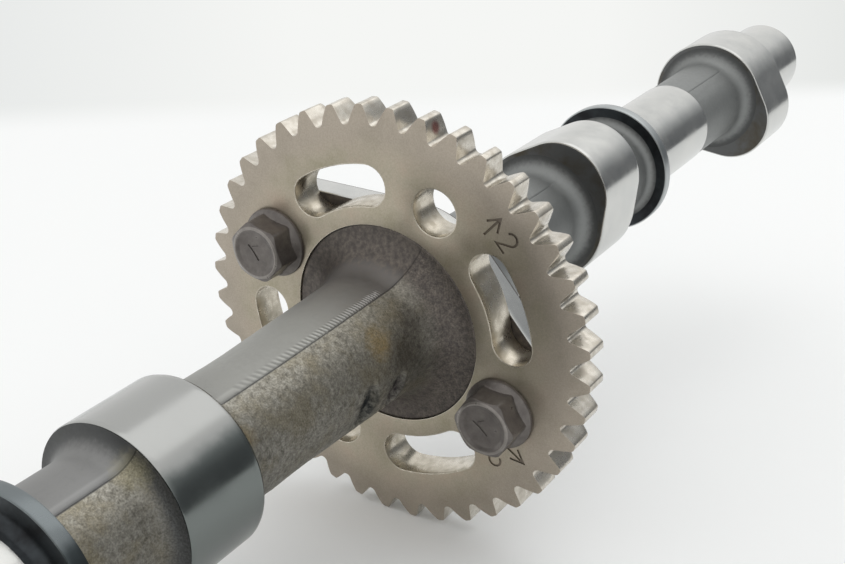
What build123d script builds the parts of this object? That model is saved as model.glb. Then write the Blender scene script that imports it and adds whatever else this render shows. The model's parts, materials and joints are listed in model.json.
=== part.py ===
"""Camshaft for a twin-cam four-cylinder motorcycle engine.

A chilled-iron casting carries four wide lobes, two bearing journals beside
thin thrust collars, two end journals and, in the middle, a spigot with a
two-eared flange. A sintered cam sprocket sits on the spigot and is held by
two flange bolts, which screw into the ears.

Everything is placed along the shaft's own axis. Station 0 is the middle of
the sprocket's thickness, and stations grow towards the far end. The shaft
lies as it comes to rest on a flat surface: on two neighbouring sprocket
teeth and on the rim of the outermost lobe of its near half. +Z is up, the
near end points to -X, and the origin is on that surface, straight below
the middle of the shaft.
"""

from build123d import *
import os
from math import asin, atan2, cos, degrees, radians, sin, tan

# ---------------------------------------------------------------- sprocket
chain_pitch = 6.35
tooth_count = 40
tip_addendum = 1.55
tooth_depth = 3.6
root_round = 0.95
flank_angle = 30.0
sprocket_thickness = 6.9
tip_width = 5.0
bevel_length = 3.5

# windows: slots and round holes share one circle with the bolts
hole_circle_radius = 27.2
slot_width = 7.8
slot_sweep = 28.4
timing_hole_radius = 4.4

# ------------------------------------------------------- spigot and flange
spigot_radius = 19.65
bore_clearance = 0.05
spigot_recess = 0.2
spigot_chamfer = 0.4
flange_hub_radius = 20.7
ear_radius = 9.3
flange_thickness = 5.5
flange_chamfer = 0.8
flare_shoulder = 0.75
swell_radius = 11.5
swell_length = 30.0

# ------------------------------------------------------------- cast shaft
core_radius = 10.3
neck_radius = 10.8

# ------------------------------------------------------------------ lobes
base_radius = 15.05
nose_radius = 11.6
lobe_lift = 3.95
lobe_width = 16.4
inner_lobe_station = 57.2
outer_lobe_station = 152.4
lobe_blend = 2.6
first_lobe_angle = 37.0

# --------------------------------------------- thrust collars and journals
collar_radius = 15.2
collar_width = 2.6
collar_gap = 16.6
collar_blend = 1.6
journal_radius = 10.5
journal_length = 32.5
end_gap = 4.6
end_journal_length = 22.0
end_chamfer = 0.8
centre_hole_radius = 1.6
centre_hole_mouth_radius = 3.4
centre_hole_depth = 9.0
centre_hole_angle = 60.0

# ------------------------------------------------------------------ bolts
shank_radius = 3.0
bolt_length = 14.0
bolt_hole_clearance = 0.25
thread_clearance = 0.05
head_across_flats = 10.0
head_height = 6.5
head_face_share = 0.95
head_chamfer_angle = 30.0
washer_radius = 6.85
washer_rim = 0.9
washer_cone = 0.9
bolt_angle = 117.0
head_turns = (26.0, 14.0)

# --------------------------------------------------- sizes that follow on
tooth_angle = 360 / tooth_count
pitch_radius = chain_pitch / (2 * sin(radians(tooth_angle / 2)))
tip_radius = pitch_radius + tip_addendum
root_radius = tip_radius - tooth_depth
half_thickness = sprocket_thickness / 2
bore_radius = spigot_radius + bore_clearance
spigot_face = half_thickness - spigot_recess
flare_radius = spigot_radius - spigot_chamfer - flare_shoulder - swell_radius
flange_back = half_thickness + flange_thickness
nose_offset = base_radius + lobe_lift - nose_radius
inner_lobe_end = inner_lobe_station + lobe_width
outer_lobe_end = outer_lobe_station + lobe_width
collar_start = inner_lobe_end + collar_gap
collar_end = collar_start + collar_width
journal_start = collar_end + collar_blend
journal_end = journal_start + journal_length
end_journal_start = outer_lobe_end + end_gap
half_length = end_journal_start + end_journal_length
bolt_angles = (bolt_angle, bolt_angle + 180)
slot_angles = tuple(angle + turn for angle in bolt_angles for turn in (45, -45))
timing_hole_angles = tuple(angle + 90 for angle in bolt_angles)
far_lobe_angles = (first_lobe_angle, first_lobe_angle + 90)
near_lobe_angles = tuple(angle + 180 for angle in far_lobe_angles)

# the straight flanks of a tooth gap touch its round root here
root_centre = root_radius + root_round
flank_start = root_centre - root_round * sin(radians(flank_angle))
flank_start_half = root_round * cos(radians(flank_angle))


def gap_half_width(radius):
    """Half the width of a tooth gap at a radius above the round root."""
    return flank_start_half + (radius - flank_start) * tan(radians(flank_angle))


def lobe_reach(lobe_angle, direction):
    """How far a lobe reaches from the shaft's axis in a direction."""
    nose_reach = nose_offset * cos(radians(direction - lobe_angle)) + nose_radius
    return max(base_radius, nose_reach)


def on_circle(radius, angle):
    """A point of the shaft's cross-section."""
    return (radius * cos(radians(angle)), radius * sin(radians(angle)))


# ------------------------------------------------------------ how it lies
# The two teeth beside the lowest gap stand on their nearer corners. The
# shaft tips towards its near end until the outer lobe's rim is down too.
down_angle = 180.0
tooth_corner = asin(gap_half_width(tip_radius) / tip_radius)
tooth_reach = tip_radius * cos(tooth_corner)
tooth_station = tip_width / 2
rim_reach = lobe_reach(near_lobe_angles[1], down_angle)
rim_station = outer_lobe_end
tilt = atan2(tooth_reach - rim_reach, rim_station - tooth_station)
axis_height = tooth_reach * cos(tilt) + tooth_station * sin(tilt)

# cross-section at station 0: local X is up and local Z runs to the far end
shaft = Plane(
    origin=(0, 0, axis_height),
    x_dir=(-sin(tilt), 0, cos(tilt)),
    z_dir=(cos(tilt), 0, sin(tilt)),
)
axle = Axis(shaft.origin, shaft.z_dir)


def half_section(side):
    """Lengthwise section of one half: local X is the station, local Y the radius."""
    return Plane(origin=shaft.origin, x_dir=shaft.z_dir * side, z_dir=shaft.y_dir * side)


def end_plane(side):
    """The face of one end, looking outwards."""
    centre = shaft.offset(side * half_length).origin
    return Plane(origin=centre, x_dir=shaft.x_dir, z_dir=shaft.z_dir * side)


# ================================================================ camshaft
with BuildPart() as camshaft:
    # lobes, each a base circle and a nose circle with straight flanks
    for side, angles in ((1, far_lobe_angles), (-1, near_lobe_angles)):
        for station, angle in zip((inner_lobe_station, outer_lobe_station), angles):
            with BuildSketch(shaft.offset(side * station)):
                Circle(base_radius)
                with Locations(on_circle(nose_offset, angle)):
                    Circle(nose_radius)
                make_hull()
            extrude(amount=side * lobe_width)

    # two-eared flange behind the sprocket
    with BuildSketch(shaft.offset(half_thickness)):
        Circle(flange_hub_radius)
        with Locations(*[on_circle(hole_circle_radius, angle) for angle in bolt_angles]):
            Circle(ear_radius)
        make_hull()
    extrude(amount=flange_thickness)
    flange_rims = camshaft.edges(Select.LAST).filter_by(axle, reverse=True)
    chamfer(flange_rims.group_by(axle)[-1], flange_chamfer)

    # spigot that centres the sprocket
    with BuildSketch(shaft.offset(-spigot_face)):
        Circle(spigot_radius)
    extrude(amount=spigot_face + half_thickness)
    spigot_rims = camshaft.edges(Select.LAST).filter_by(GeomType.CIRCLE)
    chamfer(spigot_rims.sort_by(axle)[0], spigot_chamfer)

    # core, thrust collars and journals: one turned outline for each half
    for side, flare_start in ((1, flange_back), (-1, spigot_face)):
        flare_end = flare_start + flare_radius
        flare_knee = flare_radius * sin(radians(45))
        with BuildSketch(half_section(side)):
            with BuildLine():
                Polyline(
                    (0, 0),
                    (half_length, 0),
                    (half_length, journal_radius - end_chamfer),
                    (half_length - end_chamfer, journal_radius),
                    (end_journal_start, journal_radius),
                    (end_journal_start, core_radius),
                    (outer_lobe_end + lobe_blend, core_radius),
                    (outer_lobe_end, core_radius + lobe_blend),
                    (outer_lobe_station, core_radius + lobe_blend),
                    (outer_lobe_station - lobe_blend, core_radius),
                    (journal_end, core_radius),
                    (journal_end, journal_radius),
                    (journal_start, journal_radius),
                    (collar_end, journal_radius + collar_blend),
                    (collar_end, collar_radius),
                    (collar_start, collar_radius),
                    (collar_start, neck_radius + collar_blend),
                    (collar_start - collar_blend, neck_radius),
                    (inner_lobe_end + lobe_blend, neck_radius),
                    (inner_lobe_end, neck_radius + lobe_blend),
                    (inner_lobe_station, neck_radius + lobe_blend),
                    (inner_lobe_station, core_radius + lobe_blend),
                    (inner_lobe_station - lobe_blend, core_radius),
                    (flare_end + swell_length, core_radius),
                    (flare_end, swell_radius),
                    (flare_end - flare_knee, swell_radius + flare_radius - flare_knee),
                    (flare_start, swell_radius + flare_radius),
                    (0, swell_radius + flare_radius),
                    close=True,
                )
            make_face()
        revolve(axis=axle)

    # tapped holes through the ears
    with BuildSketch(shaft.offset(half_thickness)):
        with Locations(*[on_circle(hole_circle_radius, angle) for angle in bolt_angles]):
            Circle(shank_radius + thread_clearance)
    extrude(amount=flange_thickness, mode=Mode.SUBTRACT)

    # centre-drilled ends
    with Locations(end_plane(1), end_plane(-1)):
        CounterSinkHole(
            centre_hole_radius,
            centre_hole_mouth_radius,
            centre_hole_depth,
            centre_hole_angle,
        )

camshaft.part.label = "camshaft"

# ============================================================ cam sprocket
with BuildSketch() as tooth_gap:
    with BuildLine():
        beyond_tip = tip_radius + tip_addendum
        RadiusArc(
            (flank_start, -flank_start_half),
            (root_centre - root_round, 0),
            root_round,
        )
        RadiusArc(
            (root_centre - root_round, 0),
            (flank_start, flank_start_half),
            root_round,
        )
        Polyline(
            (flank_start, flank_start_half),
            (beyond_tip, gap_half_width(beyond_tip)),
            (beyond_tip, -gap_half_width(beyond_tip)),
            (flank_start, -flank_start_half),
        )
    make_face()

with BuildSketch() as slot:
    with BuildLine() as slot_line:
        CenterArc((0, 0), hole_circle_radius, -slot_sweep / 2, slot_sweep)
    SlotArc(slot_line.edge(), slot_width)

with BuildPart() as cam_sprocket:
    # disc, its teeth bevelled on both sides
    bevel_start = tip_radius - bevel_length
    with BuildSketch(half_section(1)):
        with BuildLine():
            Polyline(
                (half_thickness, bore_radius),
                (half_thickness, bevel_start),
                (tip_width / 2, tip_radius),
                (-tip_width / 2, tip_radius),
                (-half_thickness, bevel_start),
                (-half_thickness, bore_radius),
                close=True,
            )
        make_face()
    revolve(axis=axle)

    # four slots, two round timing holes
    with BuildSketch(shaft.offset(-half_thickness)):
        for angle in slot_angles:
            add(slot.sketch, rotation=angle)
        with Locations(*[on_circle(hole_circle_radius, a) for a in timing_hole_angles]):
            Circle(timing_hole_radius)
    extrude(amount=sprocket_thickness, mode=Mode.SUBTRACT)

    # bolt holes
    with BuildSketch(shaft.offset(-half_thickness)):
        with Locations(*[on_circle(hole_circle_radius, angle) for angle in bolt_angles]):
            Circle(shank_radius + bolt_hole_clearance)
    extrude(amount=sprocket_thickness, mode=Mode.SUBTRACT)

    # teeth
    with BuildSketch(shaft.offset(-half_thickness)):
        with PolarLocations(0, tooth_count):
            add(tooth_gap.sketch)
    extrude(amount=sprocket_thickness, mode=Mode.SUBTRACT)

cam_sprocket.part.label = "cam_sprocket"

# ========================================================== sprocket bolts
head_corner_radius = head_across_flats / 2 / cos(radians(30))
head_face_radius = head_across_flats / 2 * head_face_share
head_corner_drop = (head_corner_radius - head_face_radius) * tan(radians(head_chamfer_angle))
sprocket_bolts = []

for number, (angle, turn) in enumerate(zip(bolt_angles, head_turns), start=1):
    seat_centre = shaft.offset(-half_thickness).from_local_coords(
        on_circle(hole_circle_radius, angle)
    )
    seat = Plane(origin=seat_centre, x_dir=shaft.x_dir, z_dir=shaft.z_dir * -1)
    bolt_section = Plane(origin=seat_centre, x_dir=shaft.x_dir, z_dir=shaft.y_dir)
    bolt_axis = Axis(seat.origin, seat.z_dir)

    with BuildPart() as sprocket_bolt:
        # hexagon, its corners turned off by a cone
        with BuildSketch(seat):
            RegularPolygon(head_across_flats / 2, 6, major_radius=False, rotation=turn)
        extrude(amount=head_height)
        with BuildSketch(bolt_section):
            Polygon(
                (0, 0),
                (head_corner_radius, 0),
                (head_corner_radius, head_height - head_corner_drop),
                (head_face_radius, head_height),
                (0, head_height),
                align=None,
            )
        revolve(axis=bolt_axis, mode=Mode.INTERSECT)

        # washer face and shank
        with BuildSketch(bolt_section):
            Polygon(
                (0, -bolt_length),
                (shank_radius, -bolt_length),
                (shank_radius, 0),
                (washer_radius, 0),
                (washer_radius, washer_rim),
                (head_across_flats / 2, washer_rim + washer_cone),
                (0, washer_rim + washer_cone),
                align=None,
            )
        revolve(axis=bolt_axis)

    sprocket_bolt.part.label = f"sprocket_bolt_{number}"
    sprocket_bolts.append(sprocket_bolt.part)

# ================================================================== output
os.makedirs("parts", exist_ok=True)
export_step(camshaft.part, "parts/camshaft.step")
export_step(cam_sprocket.part, "parts/cam_sprocket.step")
for bolt in sprocket_bolts:
    export_step(bolt, f"parts/{bolt.label}.step")

print(f"tilt {degrees(tilt):.3f} deg, axis height {axis_height:.3f} mm")
print(f"tip radius {tip_radius:.3f} mm, shaft length {2 * half_length:.1f} mm")
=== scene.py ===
"""Studio scene of a twin-cam camshaft with its bolted-on chain sprocket.

Every mesh is built along the shaft's own axis, in millimetres, with local X
up, local Z towards the far end and station 0 in the middle of the sprocket.
One placement matrix then lays it in the row frame, in metres.
"""

import json
import logging
import math
from dataclasses import dataclass, field
from enum import Enum
from typing import Optional, Sequence

import bmesh
import bpy
from mathutils import Matrix, Vector, noise


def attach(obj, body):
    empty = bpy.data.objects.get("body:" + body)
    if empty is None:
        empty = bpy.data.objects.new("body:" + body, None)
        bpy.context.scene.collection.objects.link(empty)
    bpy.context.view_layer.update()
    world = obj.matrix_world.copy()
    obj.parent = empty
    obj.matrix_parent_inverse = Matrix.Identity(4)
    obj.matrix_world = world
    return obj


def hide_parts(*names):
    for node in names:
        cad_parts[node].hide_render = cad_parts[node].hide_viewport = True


log = logging.getLogger("camshaft")

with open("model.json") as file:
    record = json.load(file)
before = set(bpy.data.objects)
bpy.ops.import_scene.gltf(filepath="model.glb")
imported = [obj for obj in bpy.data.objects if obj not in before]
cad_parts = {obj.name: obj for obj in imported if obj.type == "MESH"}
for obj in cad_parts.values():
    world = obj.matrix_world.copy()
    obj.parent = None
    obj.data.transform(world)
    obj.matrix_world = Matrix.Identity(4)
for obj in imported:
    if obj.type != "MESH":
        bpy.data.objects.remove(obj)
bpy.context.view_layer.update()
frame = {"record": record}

ROOT_BODY = "root"
TURN = 2 * math.pi

# sizes that several pieces or finishes share, in millimetres and degrees
SEAM_ANGLE = 27.65
BOLT_ANGLE = 116.45
BOLT_CIRCLE = 27.2
HEAD_TURNS = (25.45, 13.45)
SPROCKET_THICKNESS = 6.9
# the trimming marks: first and last distance from the sprocket, how many cycles
# they run through, how much their spacing grows, and how far they slant
TICK_START, TICK_END = 11.0, 50.0
TICK_CYCLES = 45.0
TICK_GROWTH = 1.6
TICK_SLANT = 0.45


# ------------------------------------------------------------------ helpers
def linear(hex_colour: str, alpha: float = 1.0) -> tuple[float, float, float, float]:
    """Turn an sRGB hex colour into linear RGBA.

    Args:
        hex_colour: Six hex digits, with or without a leading #.
        alpha: Opacity.

    Returns:
        Linear red, green and blue, and the opacity.
    """
    digits = hex_colour.lstrip("#")
    channels = [int(digits[i : i + 2], 16) / 255 for i in (0, 2, 4)]
    straight = [c / 12.92 if c <= 0.04045 else ((c + 0.055) / 1.055) ** 2.4 for c in channels]
    return (straight[0], straight[1], straight[2], alpha)


def add_node(
    tree: bpy.types.NodeTree,
    kind: str,
    links: Optional[dict] = None,
    sockets: Optional[dict] = None,
    stops: Sequence[tuple[float, str]] = (),
    **settings,
) -> bpy.types.Node:
    """Add one node with its settings, socket values and incoming links.

    Args:
        tree: Node tree that takes the node.
        kind: Blender's name of the node type.
        links: Input name or number, to what feeds it: an output socket, or a
            node, which stands for the first output that its settings leave in use.
        sockets: Input name or number, to its value.
        stops: Places and hex colours of a colour ramp.
        **settings: Properties of the node itself.

    Returns:
        The new node.
    """
    node = tree.nodes.new(kind)
    for name, value in settings.items():
        setattr(node, name, value)
    for number, (place, colour) in enumerate(stops):
        elements = node.color_ramp.elements
        element = elements[number] if number < len(elements) else elements.new(place)
        element.position = place
        element.color = linear(colour)
    for name, value in (sockets or {}).items():
        node.inputs[name].default_value = value
    for name, source in (links or {}).items():
        if isinstance(source, bpy.types.Node):
            source = next(output for output in source.outputs if output.enabled)
        tree.links.new(source, node.inputs[name])
    return node


def clamp(value: float, low: float = 0.0, high: float = 1.0) -> float:
    """Keep a value between two limits."""
    return max(low, min(high, value))


def smooth(value: float, start: float, end: float) -> float:
    """Ease from 0 at start to 1 at end."""
    t = clamp((value - start) / (end - start))
    return t * t * (3 - 2 * t)


def angle_between(first: float, second: float) -> float:
    """Return the smaller angle between two directions, in degrees."""
    return abs((first - second + 180) % 360 - 180)


# ---------------------------------------------------------------- placement
@dataclass(frozen=True)
class ShaftPlace:
    """Where the shaft's axis lies in the row frame."""

    origin: Vector
    turn: Matrix

    @classmethod
    def from_record(cls, record: dict) -> "ShaftPlace":
        """Read the place from the part's own mounts.

        Args:
            record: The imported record.

        Returns:
            The shaft's place.
        """
        mounts = {mount["name"]: mount for mount in record["mounts"]}
        along = Vector(mounts["far_end_journal"]["axis"]).normalized()
        side = Vector((0, -1, 0))
        up = side.cross(along)
        turn = Matrix((up, side, along)).transposed()
        return cls(Vector(mounts["sprocket_teeth"]["pos_m"]), turn)

    @property
    def matrix(self) -> Matrix:
        """Matrix from local millimetres to metres in the row frame."""
        scale = Matrix.Scale(0.001, 4)
        return Matrix.Translation(self.origin) @ self.turn.to_4x4() @ scale


PLACE = ShaftPlace.from_record(frame["record"])


def finish_mesh(
    bm: bmesh.types.BMesh,
    name: str,
    materials: Sequence[bpy.types.Material],
    sharp_angle: float = 32.0,
) -> bpy.types.Object:
    """Lay a local mesh in the row frame and make it an object.

    Args:
        bm: Mesh in local millimetres. It is freed.
        name: Name of the object.
        materials: Materials, in the order of the faces' material numbers.
        sharp_angle: Edges that turn by more than this, in degrees, stay sharp.

    Returns:
        The object, with its origin at the row's origin.
    """
    bmesh.ops.recalc_face_normals(bm, faces=bm.faces)
    bmesh.ops.transform(bm, matrix=PLACE.matrix, verts=bm.verts)
    mesh = bpy.data.meshes.new(name)
    bm.to_mesh(mesh)
    bm.free()
    for material in materials:
        mesh.materials.append(material)
    mesh.shade_smooth()
    mesh.set_sharp_from_angle(angle=math.radians(sharp_angle))
    piece = bpy.data.objects.new(name, mesh)
    bpy.context.scene.collection.objects.link(piece)
    return piece


def install(piece: bpy.types.Object, node: str) -> None:
    """Let a piece stand for a CAD node and ride on the part's body."""
    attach(piece, ROOT_BODY)
    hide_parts(node)
    log.info("%s: %d faces, stands for %s", piece.name, len(piece.data.polygons), node)


# -------------------------------------------------------------- cross-sections
@dataclass(frozen=True)
class Section:
    """Cross-section of the shaft: a circle, with noses pulled tight over it.

    Attributes:
        radius: Radius of the middle circle.
        nose_radius: Radius of each nose circle, or 0 for a plain circle.
        nose_offset: Distance of each nose circle from the axis.
        nose_angles: Directions of the noses, in degrees from local X.
    """

    radius: float
    nose_radius: float = 0.0
    nose_offset: float = 0.0
    nose_angles: tuple[float, ...] = ()

    def inset(self, amount: float) -> "Section":
        """Return the section with its outline moved inwards."""
        if not self.nose_angles:
            return Section(self.radius - amount)
        return Section(
            self.radius - amount, self.nose_radius - amount, self.nose_offset, self.nose_angles,
        )

    def reach(self, angle: float) -> float:
        """Return how far the outline lies from the axis in a direction."""
        if not self.nose_angles:
            return self.radius
        away = math.radians(min(angle_between(angle, nose) for nose in self.nose_angles))
        flank = math.acos((self.radius - self.nose_radius) / self.nose_offset)
        if away >= flank:
            return self.radius
        nose_end = math.atan2(
            self.nose_radius * math.sin(flank),
            self.nose_offset + self.nose_radius * math.cos(flank),
        )
        if away > nose_end:
            return self.radius / math.cos(away - flank)
        across = self.nose_offset * math.sin(away)
        return self.nose_offset * math.cos(away) + math.sqrt(self.nose_radius**2 - across**2)


class Skin(Enum):
    """Finish of a stretch of the casting, as its material number."""

    CAST = 0
    GROUND = 1
    FACE = 2
    # painted shade on the collars' sides and into the journals
    COLLAR = 3
    RIM = 4


@dataclass
class Ring:
    """One ring of the casting: a station, a section and the skin that leads to it."""

    station: float
    section: Section
    skin: Skin
    rough: float = 0.0


# --------------------------------------------------------------- mesh helpers
def grow(
    bm: bmesh.types.BMesh, edges: Sequence[bmesh.types.BMEdge]
) -> tuple[list[bmesh.types.BMVert], list[bmesh.types.BMEdge], list[bmesh.types.BMFace]]:
    """Extrude edges in place.

    Args:
        bm: Mesh that holds them.
        edges: Edges to extrude.

    Returns:
        The new vertices, the new copies of the edges and the new faces.
    """
    grown = bmesh.ops.extrude_edge_only(bm, edges=edges)["geom"]
    verts = [item for item in grown if isinstance(item, bmesh.types.BMVert)]
    members = set(verts)
    copies = [
        item
        for item in grown
        if isinstance(item, bmesh.types.BMEdge) and members.issuperset(item.verts)
    ]
    faces = [item for item in grown if isinstance(item, bmesh.types.BMFace)]
    return verts, copies, faces


def spin_rings(
    bm: bmesh.types.BMesh, skins: Sequence[Enum], segments: int
) -> list[list[bmesh.types.BMVert]]:
    """Spin an upright line into a tube of stacked rings of radius 1.

    Args:
        bm: Empty mesh.
        skins: One finish for each ring, which the band below it takes.
        segments: Vertices of each ring.

    Returns:
        The rings' vertices, lowest ring first.
    """
    tip = bm.verts.new((1, 0, 0))
    for number in range(1, len(skins)):
        tip = bmesh.ops.extrude_vert_indiv(bm, verts=[tip])["verts"][0]
        tip.co.z = number
    bmesh.ops.spin(
        bm, geom=bm.verts[:] + bm.edges[:], axis=(0, 0, 1), angle=TURN, steps=segments,
        use_merge=True,
    )
    rings: list[list[bmesh.types.BMVert]] = [[] for _ in skins]
    for vert in bm.verts:
        rings[round(vert.co.z)].append(vert)
    for face in bm.faces:
        upper = max(round(vert.co.z) for vert in face.verts)
        face.material_index = skins[upper].value
    return rings


def on_circle(radius: float, angle: float) -> Vector:
    """Return a point of the cross-section from polar coordinates, in degrees."""
    turn = math.radians(angle)
    return Vector((radius * math.cos(turn), radius * math.sin(turn)))


class Pen:
    """Draws a closed outline with Blender's own spin and extrude operators."""

    def __init__(self, bm: bmesh.types.BMesh, start: Vector, height: float) -> None:
        """Put the pen down.

        Args:
            bm: Mesh that takes the outline.
            start: First point.
            height: Height of the outline's plane.
        """
        self.bm = bm
        self.height = height
        self.start = self.tip = bm.verts.new((start.x, start.y, height))
        self.edges: list[bmesh.types.BMEdge] = []

    def line(self, *points: Vector) -> "Pen":
        """Draw straight lines from point to point."""
        for point in points:
            grown = bmesh.ops.extrude_vert_indiv(self.bm, verts=[self.tip])
            self.tip = grown["verts"][0]
            self.tip.co = Vector((point.x, point.y, self.height))
            self.edges += grown["edges"]
        return self

    def arc(self, centre: Vector, angle: float, steps: int) -> "Pen":
        """Draw an arc about a centre, through an angle in degrees."""
        before = set(self.bm.edges)
        grown = bmesh.ops.spin(
            self.bm, geom=[self.tip], cent=(centre.x, centre.y, self.height), axis=(0, 0, 1),
            angle=math.radians(angle), steps=steps,
        )
        self.edges += [edge for edge in self.bm.edges if edge not in before]
        self.tip = next(v for v in grown["geom_last"] if isinstance(v, bmesh.types.BMVert))
        return self

    def close(self) -> list[bmesh.types.BMEdge]:
        """Join the last point to the first and return the outline's edges."""
        if (self.tip.co - self.start.co).length > 1e-4:
            self.edges.append(self.bm.edges.new((self.tip, self.start)))
            return self.edges
        verts = {vert for edge in self.edges for vert in edge.verts} - {self.tip}
        bmesh.ops.weld_verts(self.bm, targetmap={self.tip: self.start})
        return list({edge for vert in verts for edge in vert.link_edges})


def engrave(
    bm: bmesh.types.BMesh, outline: Sequence[Vector], height: float, depth: float, material: int
) -> list[bmesh.types.BMEdge]:
    """Sink a pocket of constant depth below a plane.

    Args:
        bm: Mesh that takes the pocket.
        outline: Corners of the pocket's outline.
        height: Height of the plane.
        depth: Rise or fall of the pocket's floor.
        material: Material number of walls and floor.

    Returns:
        The pocket's rim, which the plane's own faces are still to meet.
    """
    rim = Pen(bm, outline[0], height).line(*outline[1:]).close()
    verts, low, walls = grow(bm, rim)
    bmesh.ops.translate(bm, vec=(0, 0, depth), verts=verts)
    floor = bmesh.ops.triangle_fill(bm, use_beauty=True, edges=low)["geom"]
    for face in walls + [item for item in floor if isinstance(item, bmesh.types.BMFace)]:
        face.material_index = material
    return rim


@dataclass(frozen=True)
class Stroke:
    """A path cut with a cutter of constant width.

    Attributes:
        points: Middle of the cut, across and up, in millimetres.
        width: Width of the cut.
    """

    points: tuple[tuple[float, float], ...]
    width: float = 0.44

    def outline(self) -> list[Vector]:
        """Return the corners of the cut, its bends mitred."""
        path = [Vector(point) for point in self.points]
        runs = [(b - a).normalized() for a, b in zip(path, path[1:])]
        runs = [runs[0]] + runs + [runs[-1]]
        sides: tuple[list[Vector], list[Vector]] = ([], [])
        for point, before, after in zip(path, runs, runs[1:]):
            normal = Vector((-before.y - after.y, before.x + after.x)).normalized()
            slant = max(0.45, normal.dot(Vector((-before.y, before.x))))
            for side, sign in zip(sides, (1, -1)):
                side.append(point + normal * (sign * self.width / 2 / slant))
        return sides[0] + sides[1][::-1]


@dataclass(frozen=True)
class Arrow:
    """An arrow of three cuts that meet at its tip, pointing up."""

    length: float
    barb: float = 2.85
    spread: float = 30.0
    width: float = 0.44

    def outline(self) -> list[Vector]:
        """Return the corners of the arrow, with its tip at 0, 0."""
        half = self.width / 2
        lean = math.radians(self.spread)
        along = Vector((math.sin(lean), -math.cos(lean)))
        out = Vector((math.cos(lean), math.sin(lean))) * half
        inner = (half + half * math.cos(lean)) / math.sin(lean)
        right = [
            along * self.barb + out,
            along * self.barb - out,
            along * inner - out,
            Vector((half, -self.length)),
        ]
        left = [Vector((-point.x, point.y)) for point in reversed(right)]
        return [Vector((0, half / math.sin(lean)))] + right + left


def turned(points: Sequence[Vector], radius: float, angle: float) -> list[Vector]:
    """Set points upright on a circle, their up direction pointing outwards.

    Args:
        points: Points, across and up.
        radius: Radius at which their height 0 lies.
        angle: Direction of their middle, in degrees.

    Returns:
        The points in the cross-section.
    """
    up = on_circle(1, angle)
    across = Vector((-up.y, up.x))
    return [across * point.x + up * (radius + point.y) for point in points]


NUMERAL_TWO = Stroke(
    tuple(
        (1.18 * math.cos(math.radians(a)), 2.88 + 1.18 * math.sin(math.radians(a)))
        for a in range(165, -40, -20)
    )
    + ((-1.18, 0.0), (1.18, 0.0))
)
NUMERAL_SEVEN = Stroke(((-1.05, 1.5), (1.05, 1.5), (0.35, 0.2), (-0.25, -1.6)), 0.5)


# ------------------------------------------------------------------- casting
@dataclass(frozen=True)
class Hollow:
    """A steep-sided hollow in the casting's skin.

    Attributes:
        angle: Direction of its middle, in degrees.
        station: Station of its middle.
        length: Half its length along the shaft.
        width: Half its width around the shaft.
        depth: Depth of its floor.
    """

    angle: float
    station: float
    length: float
    width: float
    depth: float

    def depth_at(self, angle: float, radius: float, station: float) -> float:
        """Return how far the skin is sunk at a place."""
        across = math.radians((angle - self.angle + 180) % 360 - 180) * radius
        along = station - self.station + 0.25 * across
        share = 1 - (along / self.length) ** 2 - (across / self.width) ** 2
        return self.depth * smooth(share, 0, 0.4) if share > 0 else 0.0


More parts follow.
